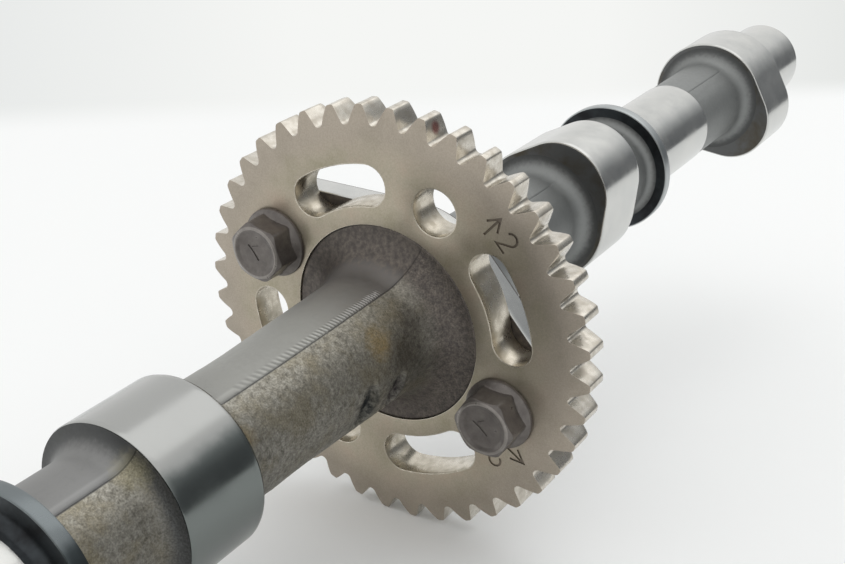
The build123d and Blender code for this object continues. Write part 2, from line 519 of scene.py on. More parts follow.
@dataclass
class Casting:
    """The camshaft itself: lobes, collars, journals, flange and spigot.

    All sizes are in millimetres and degrees.
    """

    base_radius: float = 15.05
    nose_radius: float = 11.6
    lobe_lift: float = 3.95
    lobe_width: float = 16.4
    lobe_edge: float = 0.35
    inner_lobe_station: float = 57.2
    outer_lobe_station: float = 152.4
    first_lobe_angle: float = 36.45
    core_radius: float = 10.3
    neck_radius: float = 10.8
    near_core_radius: float = 11.3
    near_swell_radius: float = 12.2
    swell_radius: float = 11.5
    swell_length: float = 30.0
    swell_break: float = 0.52
    near_steps: tuple[float, float, float, float] = (0.165, 0.23, 0.32, 0.6)
    far_step: float = 0.9
    flare_radius: float = 7.0
    lobe_fillet: float = 3.6
    collar_radius: float = 15.2
    collar_width: float = 2.6
    collar_gap: float = 16.6
    collar_fillet: float = 1.9
    collar_edge: float = 0.3
    journal_radius: float = 10.5
    journal_start: float = 94.4
    journal_length: float = 32.5
    end_gap: float = 4.6
    end_length: float = 22.0
    end_edge: float = 0.8
    centre_radius: float = 1.6
    centre_mouth: float = 3.4
    centre_depth: float = 9.0
    centre_cone: float = 3.12
    spigot_radius: float = 19.65
    spigot_edge: float = 0.4
    spigot_face: float = 3.25
    sprocket_half: float = SPROCKET_THICKNESS / 2
    hub_radius: float = 20.7
    ear_radius: float = 9.3
    ear_offset: float = 27.2
    ear_angle: float = BOLT_ANGLE
    flange_thickness: float = 5.5
    flange_edge: float = 0.8
    seam_angle: float = SEAM_ANGLE
    seam_depth: float = 0.15
    tick_height: float = 0.2
    tick_length: float = 1.6
    hollows: tuple[Hollow, ...] = (
        Hollow(112.0, -25.2, 2.6, 5.0, 1.4),
        Hollow(116.0, -16.8, 2.4, 4.6, 1.3),
    )
    segments: int = 176
    crowding: float = 0.55
    name: str = "camshaft_casting"
    rings: list[Ring] = field(default_factory=list)

    def _add(
        self, station: float, section: Section | float, skin: Skin, rough: float = 0.0
    ) -> None:
        """Append one ring. A bare number is the radius of a plain circle."""
        if not isinstance(section, Section):
            section = Section(section)
        self.rings.append(Ring(station, section, skin, rough))

    def _rim(
        self, station: float, section: Section, edge: float, skins: tuple[Skin, Skin]
    ) -> None:
        """Append the rings of a broken edge between a side face and a rim.

        Args:
            station: Station of the side face.
            section: Outline of the rim.
            edge: Size of the broken edge, negative where the rim ends at the face.
            skins: Finishes of the face and of the rim.
        """
        face, rim = skins
        size = abs(edge)
        rings = [
            (station, 2 * size, face),
            (station, size, face),
            (station + 0.3 * edge, 0.3 * size, rim),
            (station + edge, 0.0, rim),
            (station + 3 * edge, 0.0, rim),
        ]
        if edge < 0:
            rings = [(place, inset, rim) for place, inset, _ in rings[::-1]]
            rings[-1] = (station, 2 * size, face)
        for place, inset, skin in rings:
            self._add(place, section.inset(inset), skin)

    def _fillet(
        self, wall: float, radius: float, core: float, skins: tuple[Skin, Skin], outwards: bool
    ) -> None:
        """Append the rings of a hollow corner between a wall and a round core.

        Args:
            wall: Station of the wall.
            radius: Radius of the corner.
            core: Radius of the core.
            skins: Finishes of the wall and of the corner.
            outwards: True where the wall lies further along the shaft than the core.
        """
        steps = 6
        away = -1 if outwards else 1
        for i in range(steps + 1):
            turn = math.radians(90) * (i / steps if outwards else 1 - i / steps)
            station = wall + away * radius * (1 - math.sin(turn))
            lift = core + radius * (1 - math.cos(turn))
            skin = skins[0] if i == 0 and not outwards else skins[1]
            self._add(station, lift, skin, 0.4)

    def _span(self, end: float, radius: float, step: float) -> None:
        """Append the rings of a cast stretch whose radius changes evenly."""
        last = self.rings[-1]
        count = max(2, round(abs(end - last.station) / step))
        for i in range(1, count + 1):
            share = i / count
            place = last.station + (end - last.station) * share
            reach = last.section.radius + (radius - last.section.radius) * share
            self._add(place, reach, Skin.CAST, 1.0)

    def _lobe(self, start: float, angle: float, core: float, neck: float) -> None:
        """Append one lobe, with the hollow corners at its feet."""
        outline = Section(
            self.base_radius, self.nose_radius,
            self.base_radius + self.lobe_lift - self.nose_radius, (angle,),
        )
        end = start + self.lobe_width
        self._fillet(start, self.lobe_fillet, core, (Skin.FACE, Skin.CAST), True)
        self._rim(start, outline, self.lobe_edge, (Skin.FACE, Skin.GROUND))
        self._rim(end, outline, -self.lobe_edge, (Skin.FACE, Skin.GROUND))
        self._fillet(end, self.lobe_fillet, neck, (Skin.FACE, Skin.CAST), False)

    def _half(self, side: int) -> list[Ring]:
        """Return the rings of one half, from the flare outwards, at positive stations.

        Args:
            side: -1 for the near half, 1 for the far half.
        """
        self.rings = []
        near = side < 0
        inner_angle = self.first_lobe_angle + (180 if near else 0)
        flare_start = self.spigot_face if near else self.sprocket_half + self.flange_thickness
        flare_end = flare_start + self.flare_radius
        inner_end = self.inner_lobe_station + self.lobe_width
        outer_end = self.outer_lobe_station + self.lobe_width
        collar_start = inner_end + self.collar_gap
        collar_end = collar_start + self.collar_width
        journal_end = self.journal_start + self.journal_length
        end_start = outer_end + self.end_gap
        end = end_start + self.end_length
        core = self.near_core_radius if near else self.core_radius
        neck = self.near_core_radius if near else self.neck_radius
        swell = self.near_swell_radius if near else self.swell_radius
        journal = self.journal_radius

        # flare
        steps = 22 if near else 12
        for i in range(steps + 1):
            turn = math.radians(90) * (1 - i / steps)
            station = flare_end - self.flare_radius * math.sin(turn)
            lift = swell + self.flare_radius * (1 - math.cos(turn))
            self._add(station, lift, Skin.CAST, 0.5 + 0.5 * smooth(i, 0, 6))
        # swell and plain core, finest where the seam's marks are
        swell_end = flare_end + self.swell_length
        middle = flare_end + self.swell_break * self.swell_length
        middle_radius = swell + self.swell_break * (core - swell)
        swell_step, taper_step, core_step, neck_step = (
            self.near_steps if near else (self.far_step,) * 4
        )
        self._span(middle, middle_radius, swell_step)
        self._span(swell_end, core, taper_step)
        self._span(self.inner_lobe_station - self.lobe_fillet - 0.2, core, core_step)
        self._lobe(self.inner_lobe_station, inner_angle, core, neck)
        # neck, thrust collar and bearing journal
        self._span(collar_start - self.collar_fillet - 0.2, neck, neck_step)
        self._fillet(collar_start, self.collar_fillet, neck, (Skin.COLLAR, Skin.CAST), True)
        collar = Section(self.collar_radius)
        self._rim(collar_start, collar, self.collar_edge, (Skin.COLLAR, Skin.RIM))
        self._rim(collar_end, collar, -self.collar_edge, (Skin.COLLAR, Skin.RIM))
        # painted shade: the corner into the journal and the journal's first 0.9 mm take the
        # collars' dark finish
        corner = self.journal_start - collar_end
        self._fillet(collar_end, corner, journal, (Skin.COLLAR, Skin.COLLAR), False)
        self._add(self.journal_start + 0.9, journal, Skin.COLLAR)
        self._add(self.journal_start + 1.4, journal, Skin.GROUND)
        self._add(journal_end - 0.6, journal, Skin.GROUND)
        self._add(journal_end - 0.15, journal, Skin.GROUND)
        self._add(journal_end, journal - 0.15, Skin.GROUND)
        # cast stretch and outer lobe
        core = self.core_radius
        self._add(journal_end + 0.2, core, Skin.CAST, 0.6)
        self._span(self.outer_lobe_station - self.lobe_fillet - 0.2, core, self.far_step)
        self._lobe(self.outer_lobe_station, inner_angle + 90, core, core)
        # end journal and its drilled centre
        self._add(end_start, core, Skin.CAST)
        self._add(end_start, journal - 0.15, Skin.GROUND)
        self._add(end_start + 0.15, journal, Skin.GROUND)
        self._add(end_start + 0.6, journal, Skin.GROUND)
        self._add(end - self.end_edge - 0.5, journal, Skin.GROUND)
        self._add(end - self.end_edge, journal, Skin.GROUND)
        self._add(end, journal - self.end_edge, Skin.GROUND)
        self._add(end, journal - self.end_edge - 0.5, Skin.FACE)
        self._add(end, self.centre_mouth + 0.3, Skin.FACE)
        self._add(end, self.centre_mouth, Skin.FACE)
        self._add(end - self.centre_cone, self.centre_radius, Skin.GROUND)
        self._add(end - self.centre_depth, self.centre_radius, Skin.FACE)
        return self.rings

    def _middle(self) -> list[Ring]:
        """Return the rings of spigot and flange, from the near face to the far face."""
        self.rings = []
        ears = Section(
            self.hub_radius, self.ear_radius, self.ear_offset,
            (self.ear_angle, self.ear_angle + 180),
        )
        spigot, edge, chamfer = self.spigot_radius, self.spigot_edge, self.flange_edge
        front, back = self.sprocket_half, self.sprocket_half + self.flange_thickness
        self._add(-self.spigot_face, spigot - edge, Skin.CAST)
        self._add(-self.spigot_face + 0.3 * edge, spigot - 0.3 * edge, Skin.CAST)
        self._add(-self.spigot_face + edge, spigot, Skin.FACE)
        self._add(front, spigot, Skin.GROUND)
        self._rim(front, ears, 0.25, (Skin.CAST, Skin.GROUND))
        self._add(back - chamfer, ears, Skin.GROUND)
        self._add(back - 0.7 * chamfer, ears.inset(0.05 * chamfer), Skin.CAST)
        self._add(back - 0.3 * chamfer, ears.inset(0.3 * chamfer), Skin.CAST)
        self._add(back, ears.inset(chamfer), Skin.CAST)
        self._add(back, ears.inset(1.6 * chamfer), Skin.CAST)
        return self.rings

    def _all_rings(self) -> list[Ring]:
        """Return every ring from the near end to the far end.

        A skin belongs to the band between its ring and the one before it, so
        the near half's skins move on by one ring when it is turned round.
        """
        near = self._half(-1)
        skins = [ring.skin for ring in near[1:]] + [near[-1].skin]
        turned_round = [
            Ring(-ring.station, ring.section, skin, ring.rough)
            for ring, skin in zip(near[::-1], skins[::-1])
        ]
        return turned_round + self._middle() + self._half(1)

    def _seam(self, across: float, station: float) -> float:
        """Return the height that the mould's seam adds.

        A fine groove runs along the seam, the skin below it lies a little
        lower, and short trimming marks stand across it on its upper side.

        Args:
            across: Distance from the seam around the shaft, growing downwards.
            station: Station along the shaft.
        """
        height = -self.seam_depth * math.exp(-((across / 0.17) ** 2))
        height -= 0.07 * smooth(across, 0, 0.4) * smooth(-across, -4, -2)
        share = (-station - TICK_START) / (TICK_END - TICK_START)
        if not 0 < share < 1 or across > 0:
            return height
        phase = TICK_CYCLES * math.log(1 + TICK_GROWTH * share) + TICK_SLANT * across
        number = math.floor(phase)
        luck = 0.5 + 0.5 * noise.noise(Vector((number * 7.3, 1.7, 0.4)))
        length = self.tick_length * (1 - 0.3 * share) * (0.65 + 0.6 * luck)
        if -across > length:
            return height
        tick = 1 - abs(2 * (phase - number) - 1)
        ease = smooth(-across, 0.05, 0.25) * smooth(length + across, 0, 0.4)
        fade = smooth(share, 0, 0.04) * (1 - 0.7 * share)
        return height + self.tick_height * fade * ease * (smooth(tick, 0.25, 0.9) - 0.35)

    def _relief(self, angle: float, radius: float, station: float) -> float:
        """Return the cast skin's height above the plain surface.

        Args:
            angle: Direction, in degrees.
            radius: Plain radius there.
            station: Station along the shaft.

        Returns:
            Height in millimetres.
        """
        spot = on_circle(radius, angle).to_3d()
        spot.z = station
        height = 0.05 * noise.noise(spot * 0.23) + 0.015 * noise.noise(spot * 0.9)
        seam_side = (angle - self.seam_angle) % 360
        if seam_side < 180:
            height += 0.05 * noise.noise(spot * 0.8) + 0.035 * noise.noise(spot * 2.1)
        for seam in (self.seam_angle, self.seam_angle + 180):
            across = math.radians((angle - seam + 180) % 360 - 180) * radius
            if abs(across) < 4:
                height += self._seam(across, station)
        return height - sum(hollow.depth_at(angle, radius, station) for hollow in self.hollows)

    def build(self, materials: Sequence[bpy.types.Material]) -> bpy.types.Object:
        """Build the casting: spin its rings, then shape each of them.

        Args:
            materials: One material for each skin.

        Returns:
            The casting's object.
        """
        rings = self._all_rings()
        bm = bmesh.new()
        loops = spin_rings(bm, [ring.skin for ring in rings], self.segments)
        for ring, loop in zip(rings, loops):
            for vert in loop:
                # vertices crowd towards the seam
                away = math.atan2(vert.co.y, vert.co.x)
                away -= self.crowding * math.sin(2 * away) / 2
                angle = (self.seam_angle + math.degrees(away)) % 360
                reach = ring.section.reach(angle)
                if ring.rough:
                    reach += ring.rough * self._relief(angle, reach, ring.station)
                vert.co = on_circle(reach, angle).to_3d()
                vert.co.z = ring.station
        bmesh.ops.holes_fill(bm, edges=[edge for edge in bm.edges if edge.is_boundary], sides=0)
        return finish_mesh(bm, self.name, materials, sharp_angle=38.0)


# ------------------------------------------------------------------ sprocket
class Zone(Enum):
    """Finish of a part of the sprocket, as its material number."""

    FACE = 0
    FLANK = 1
    WALL = 2
    MARK = 3


@dataclass(frozen=True)
class Window:
    """A hole through the sprocket: round, or a slot that follows its circle.

    Attributes:
        angle: Direction of its middle, in degrees.
        circle: Radius of the circle that its middle lies on.
        width: Its width or diameter.
        sweep: Angle between the ends' centres, or 0 for a round hole.
        edge: Size of its broken edges.
        segments: Edges of a round hole.
    """

    angle: float
    circle: float
    width: float
    sweep: float = 0.0
    edge: float = 0.28
    segments: int = 64

    def outline(
        self, bm: bmesh.types.BMesh, growth: float, height: float
    ) -> list[bmesh.types.BMEdge]:
        """Draw the outline, grown by an amount, and return its edges."""
        half = self.width / 2 + growth
        if not self.sweep:
            centre = on_circle(self.circle, self.angle)
            pen = Pen(bm, centre + Vector((half, 0)), height)
            return pen.arc(centre, 360, self.segments).close()
        start, end = self.angle - self.sweep / 2, self.angle + self.sweep / 2
        pen = Pen(bm, on_circle(self.circle + half, start), height)
        pen.arc(Vector((0, 0)), self.sweep, 18)
        pen.arc(on_circle(self.circle, end), 180, 14)
        pen.arc(Vector((0, 0)), -self.sweep, 18)
        pen.arc(on_circle(self.circle, start), 180, 14)
        return pen.close()

    def cut(
        self, bm: bmesh.types.BMesh, half: float
    ) -> tuple[list[bmesh.types.BMEdge], list[bmesh.types.BMEdge]]:
        """Build the wall between two faces, its edges broken.

        Args:
            bm: Mesh that takes the wall.
            half: Half the thickness between the faces.

        Returns:
            The rims in the lower and in the upper face.
        """
        edge = self.edge
        levels = (
            (edge, -half),
            (0.3 * edge, -half + 0.3 * edge),
            (0.0, -half + edge),
            (0.0, half - edge),
            (0.3 * edge, half - 0.3 * edge),
            (edge, half),
        )
        stack = [self.outline(bm, growth, height) for growth, height in levels]
        for lower, upper in zip(stack, stack[1:]):
            for face in bmesh.ops.bridge_loops(bm, edges=lower + upper)["faces"]:
                face.material_index = Zone.WALL.value
        return stack[0], stack[-1]


@dataclass
class Sprocket:
    """The toothed wheel: bevelled teeth, four slots, two round holes, timing marks.

    All sizes are in millimetres and degrees.
    """

    teeth: int = 40
    tip_radius: float = 42.017
    root_radius: float = 38.417
    root_round: float = 0.95
    flank_angle: float = 30.0
    flank_bulge: float = 0.05
    tip_round: float = 0.25
    thickness: float = SPROCKET_THICKNESS
    tip_width: float = 5.0
    bevel_start: float = 36.9
    edge: float = 0.14
    bore_radius: float = 19.7
    window_circle: float = BOLT_CIRCLE
    slot_width: float = 7.8
    slot_sweep: float = 28.4
    round_diameter: float = 8.8
    bolt_hole_diameter: float = 6.5
    bolt_angle: float = BOLT_ANGLE
    mark_depth: float = 0.22
    arrows: tuple[tuple[float, float, float], ...] = ((44.8, 36.2, 4.8), (126.45, 36.1, 4.7))
    numerals: tuple[tuple[float, float], ...] = ((51.05, 32.4), (134.25, 29.3))
    name: str = "toothed_sprocket"

    def _half_height(self, radius: float) -> float:
        """Return the disc's half thickness at a radius, with its rounded bevel."""
        share = max(0.0, (radius - self.bevel_start) / (self.tip_radius - self.bevel_start))
        return self.thickness / 2 - (self.thickness - self.tip_width) / 2 * share**1.6

    def _tooth_outline(self, bm: bmesh.types.BMesh) -> list[bmesh.types.BMEdge]:
        """Draw the toothed outline, gap by gap."""
        pitch = 360 / self.teeth
        centre = self.root_radius + self.root_round
        lean = math.radians(self.flank_angle)
        foot = Vector(
            (centre - self.root_round * math.sin(lean), self.root_round * math.cos(lean))
        )
        along = Vector((math.cos(lean), math.sin(lean)))
        dot = foot.dot(along)
        run = -dot + math.sqrt(dot**2 - foot.length_squared + self.tip_radius**2)
        corner = foot + along * run
        corner_angle = math.degrees(math.atan2(corner.y, corner.x))
        land = math.degrees(self.tip_round / self.tip_radius)
        # one flank, from the root to the rounded corner of the land
        bulge = Vector((along.y, -along.x)) * self.flank_bulge
        rising = [foot + along * (run * s) + bulge * (4 * s * (1 - s)) for s in (0.25, 0.5, 0.75)]
        rising += [corner - along * self.tip_round]
        rising += [on_circle(self.tip_radius - 0.07, corner_angle + 0.25 * land)]
        falling = [Vector((point.x, -point.y)) for point in reversed(rising)]
        top_start = corner_angle + land
        top_sweep = pitch - 2 * top_start
        tops = [on_circle(self.tip_radius, top_start + top_sweep * s) for s in (0, 0.5, 1)]
        pen = Pen(bm, Vector((foot.x, -foot.y)), 0.0)
        for i in range(self.teeth):
            turn = Matrix.Rotation(math.radians(i * pitch), 2)
            ahead = Matrix.Rotation(math.radians((i + 1) * pitch), 2)
            pen.arc(turn @ Vector((centre, 0)), -(180 - 2 * self.flank_angle), 8)
            pen.line(*(turn @ point for point in rising + tops))
            pen.line(*(ahead @ point for point in falling))
            if i < self.teeth - 1:
                pen.line(ahead @ Vector((foot.x, -foot.y)))
        return pen.close()

    def _rim(
        self, bm: bmesh.types.BMesh
    ) -> tuple[list[bmesh.types.BMEdge], list[bmesh.types.BMEdge]]:
        """Build the toothed rim and return its inner edges in both faces."""
        near_rim = edges = self._tooth_outline(bm)
        for vert in {vert for edge in near_rim for vert in edge.verts}:
            vert.co.z = -self._half_height(vert.co.xy.length)
        # flanks and tips
        steps = 4
        for i in range(1, steps + 1):
            verts, edges, faces = grow(bm, edges)
            for vert in verts:
                vert.co.z = self._half_height(vert.co.xy.length) * (2 * i / steps - 1)
            for face in faces:
                face.material_index = Zone.FLANK.value
        far_rim = edges
        # bevelled faces, in towards the flat disc
        inner = []
        for rim, side in ((near_rim, -1), (far_rim, 1)):
            edges, gone = rim, 0.0
            for share in (0.1, 0.3, 0.55, 0.8, 1.0):
                verts, edges, faces = grow(bm, edges)
                for face in faces:
                    face.material_index = Zone.FACE.value
                for vert in verts:
                    radius = vert.co.xy.length
                    first = (radius - gone * self.bevel_start) / (1 - gone)
                    wanted = first + (self.bevel_start - first) * share
                    vert.co.xy = vert.co.xy * (wanted / radius)
                    vert.co.z = side * self._half_height(wanted)
                gone = share
            inner.append(edges)
        bmesh.ops.bevel(
            bm, geom=near_rim + far_rim, offset=self.edge, offset_type="OFFSET", segments=2,
            profile=0.5, affect="EDGES", clamp_overlap=True, material=-1,
        )
        return inner[0], inner[1]

    def _windows(self) -> list[Window]:
        """Return the slots, the round holes, the bolt holes and the bore."""
        circle, angle = self.window_circle, self.bolt_angle
        slots = [
            Window(angle + turn, circle, self.slot_width, self.slot_sweep)
            for turn in (45, -45, 135, -135)
        ]
        rounds = [Window(angle + turn, circle, self.round_diameter) for turn in (90, -90)]
        bolts = [
            Window(angle + turn, circle, self.bolt_hole_diameter, edge=0.2) for turn in (0, 180)
        ]
        bore = Window(0, 0, 2 * self.bore_radius, edge=0.12, segments=160)
        return slots + rounds + bolts + [bore]

    def _marks(self, bm: bmesh.types.BMesh) -> list[bmesh.types.BMEdge]:
        """Engrave the timing arrows and plain numerals and return their rims."""
        outlines = [
            turned(Arrow(length).outline(), radius, angle) for angle, radius, length in self.arrows
        ]
        outlines += [
            turned(NUMERAL_TWO.outline(), radius, angle) for angle, radius in self.numerals
        ]
        height, material = -self.thickness / 2, Zone.MARK.value
        rims = [engrave(bm, line, height, self.mark_depth, material) for line in outlines]
        return [edge for rim in rims for edge in rim]

    def build(self, materials: Sequence[bpy.types.Material]) -> bpy.types.Object:
        """Build the sprocket.

        Args:
            materials: One material for each zone.

        Returns:
            The sprocket's object.
        """
        bm = bmesh.new()
        near_edges, far_edges = self._rim(bm)
        near_edges = near_edges + self._marks(bm)
        for window in self._windows():
            near, far = window.cut(bm, self.thickness / 2)
            near_edges, far_edges = near_edges + near, far_edges + far
        for edges, side in ((near_edges, -1), (far_edges, 1)):
            bmesh.ops.triangle_fill(bm, use_beauty=True, edges=edges, normal=(0, 0, side))
        return finish_mesh(bm, self.name, materials, sharp_angle=30.0)


# -------------------------------------------------------------------- bolts
class HeadZone(Enum):
    """Finish of a part of a bolt, as its material number."""

    BLACK = 0
    THREAD = 1
    # painted highlight round the top of the head
    PAINTED_HIGHLIGHT = 2


class Form(Enum):
    """How the outline of a bolt's ring follows its radius."""

    ROUND = "circle"
    WITHIN_HEXAGON = "circle, cut off by the hexagon"
    AROUND_HEXAGON = "circle, with the hexagon standing out of it"
    THREAD = "circle with the thread's groove"


@dataclass(frozen=True)
class HeadRing:
    """One ring of a bolt: its height, radius, form and the finish of the band below."""

    height: float
    radius: float
    form: Form = Form.ROUND
    zone: HeadZone = HeadZone.BLACK


@dataclass
class FlangeBolt:
    """A flange bolt with a hexagon head and a shallow dish in its top.

    All sizes are in millimetres and degrees. Heights are measured from the
    seat, towards the head's top.
    """

    name: str
    angle: float
    turn: float
    circle: float = BOLT_CIRCLE
    seat: float = -SPROCKET_THICKNESS / 2
    across_flats: float = 10.8
    corner_round: float = 0.12
    head_height: float = 6.5
    head_chamfer: float = 0.62
    face_radius: float = 4.9
    washer_radius: float = 6.85
    washer_edge: float = 0.25
    washer_rim: float = 0.9
    washer_cone: float = 0.9
    dish_radius: float = 4.3
    dish_depth: float = 0.36
    numeral_depth: float = 0.18
    shank_radius: float = 3.0
    thread_depth: float = 0.3
    length: float = 14.0
    plain_length: float = 6.0
    pitch: float = 1.0
    segments: int = 96

    def _reach(self, ring: HeadRing, angle: float) -> float:
        """Return how far a ring's outline lies from the bolt's axis in a direction."""
        if ring.form is Form.ROUND:
            return ring.radius
        if ring.form is Form.THREAD:
            phase = (ring.height / self.pitch + angle / 360) % 1.0
            fade = smooth(-self.plain_length - ring.height, 0, 0.6)
            return ring.radius - self.thread_depth * fade * (1 - abs(2 * phase - 1))
        flat = self.across_flats / 2
        away = (angle - self.turn) % 60 - 30
        corner = flat / math.cos(math.radians(30)) - self.corner_round
        hexagon = min(flat / math.cos(math.radians(away)), corner)
        if ring.form is Form.WITHIN_HEXAGON:
            return min(ring.radius, hexagon)
        return max(ring.radius, hexagon)

    def _rings(self) -> list[HeadRing]:
        """Return the rings from the tip of the shank to the floor of the dish."""
        shank, tip, top = self.shank_radius, -self.length, self.head_height
        rings = [HeadRing(tip, shank - 0.9)]
        steps = int((self.length - self.plain_length) / 0.125)
        for i in range(steps + 1):
            height = tip + (self.length - self.plain_length) * i / steps
            point = 0.45 * (1 - smooth(height - tip, -0.2, 0.9))
            rings.append(HeadRing(height, shank - point, Form.THREAD, HeadZone.THREAD))
        rings += [HeadRing(-self.plain_length + 0.2, shank), HeadRing(0, shank)]
        # washer face, its rim and the cone up to the hexagon
        rim, edge = self.washer_radius, self.washer_edge
        rings += [
            HeadRing(0, rim - edge),
            HeadRing(0.2, rim),
            HeadRing(self.washer_rim - edge, rim),
            HeadRing(self.washer_rim - 0.3 * edge, rim - 0.3 * edge),
            HeadRing(self.washer_rim, rim - edge),
        ]
        flat = self.across_flats / 2
        for i in range(1, 9):
            cone = rim - edge - (rim - edge - flat) * i / 8
            height = self.washer_rim + self.washer_cone * i / 8
            rings.append(HeadRing(height, cone, Form.AROUND_HEXAGON))
        # hexagon, chamfered to its round top
        rings.append(HeadRing(self.washer_rim + self.washer_cone + 0.3, rim, Form.WITHIN_HEXAGON))
        for i in range(10):
            drop = self.head_chamfer * (1 - i / 9)
            cone = self.face_radius + drop / math.tan(math.radians(30))
            # painted highlight on the last chamfer rings
            zone = HeadZone.PAINTED_HIGHLIGHT if i > 6 else HeadZone.BLACK
            rings.append(HeadRing(top - drop, cone, Form.WITHIN_HEXAGON, zone))
        # dish
        # the top's rim carries the painted highlight too
        rings += [
            HeadRing(top, self.face_radius - 0.25, zone=HeadZone.PAINTED_HIGHLIGHT),
            HeadRing(top - 0.02, self.dish_radius + 0.25),
            HeadRing(top - 0.08, self.dish_radius),
            HeadRing(top - 0.85 * self.dish_depth, self.dish_radius - 0.3),
            HeadRing(top - self.dish_depth, self.dish_radius - 0.6),
        ]
        return rings

    def build(self, materials: Sequence[bpy.types.Material]) -> bpy.types.Object:
        """Spin the bolt's rings, shape them, then seat the bolt in its hole.

        Args:
            materials: One material for each zone.

        Returns:
            The bolt's object.
        """
        rings = self._rings()
        bm = bmesh.new()
        loops = spin_rings(bm, [ring.zone for ring in rings], self.segments)
        for ring, loop in zip(rings, loops):
            for vert in loop:
                angle = math.degrees(math.atan2(vert.co.y, vert.co.x)) % 360
                vert.co = on_circle(self._reach(ring, angle), angle).to_3d()
                vert.co.z = ring.height
        open_edges = [edge for edge in bm.edges if edge.is_boundary]
        point = [edge for edge in open_edges if edge.verts[0].co.z < 0]
        bmesh.ops.holes_fill(bm, edges=point, sides=0)
        floor = [edge for edge in open_edges if edge.verts[0].co.z > 0]
        height = self.head_height - self.dish_depth
        line = turned(NUMERAL_SEVEN.outline(), 0, self.turn)
        floor += engrave(bm, line, height, -self.numeral_depth, HeadZone.BLACK.value)
        bmesh.ops.triangle_fill(bm, use_beauty=True, edges=floor, normal=(0, 0, 1))
        # the bolt's own height runs towards the near end of the shaft
        centre = on_circle(self.circle, self.angle)
        place = Matrix.Translation((centre.x, centre.y, self.seat)) @ Matrix.Rotation(
            math.pi, 4, "X"
        )
        bmesh.ops.transform(bm, matrix=place, verts=bm.verts)
        return finish_mesh(bm, self.name, materials, sharp_angle=28.0)


# ------------------------------------------------------------------ finishes
def local_coordinates(tree: bpy.types.NodeTree) -> bpy.types.NodeSocket:
    """Add the nodes that turn Object coordinates into local millimetres."""
    source = add_node(tree, "ShaderNodeTexCoord")
    mapping = add_node(
        tree,
        "ShaderNodeMapping",
        links={"Vector": source.outputs["Object"]},
        sockets={
            "Location": PLACE.origin,
            "Rotation": PLACE.turn.to_euler("XYZ"),
            "Scale": (0.001, 0.001, 0.001),
        },
        vector_type="TEXTURE",
    )
    return mapping.outputs["Vector"]


def new_material(name: str) -> tuple[bpy.types.Material, bpy.types.NodeTree, bpy.types.Node]:
    """Make a material with a Principled shader.

    Args:
        name: Name of the material.

    Returns:
        The material, its node tree and its Principled node.
    """
    material = bpy.data.materials.new(name)
    material.use_nodes = True
    tree = material.node_tree
    tree.nodes.clear()
    shader = add_node(tree, "ShaderNodeBsdfPrincipled")
    add_node(tree, "ShaderNodeOutputMaterial", links={"Surface": shader.outputs["BSDF"]})
    return material, tree, shader


@dataclass(frozen=True)
class Patch:
    """A soft-edged patch of another colour on the casting.

    Attributes:
        angle: Direction of its middle, in degrees.
        station: Station of its middle.
        radius: Distance of its middle from the axis.
        size: Distance at which it has faded out.
        colour: Its hex colour.
        strength: Share of its colour in its middle.
    """

    angle: float
    station: float
    radius: float
    size: float
    colour: str
    strength: float

    @property
    def middle(self) -> Vector:
        """Its middle, in local millimetres."""
        spot = on_circle(self.radius, self.angle).to_3d()
        spot.z = self.station
        return spot


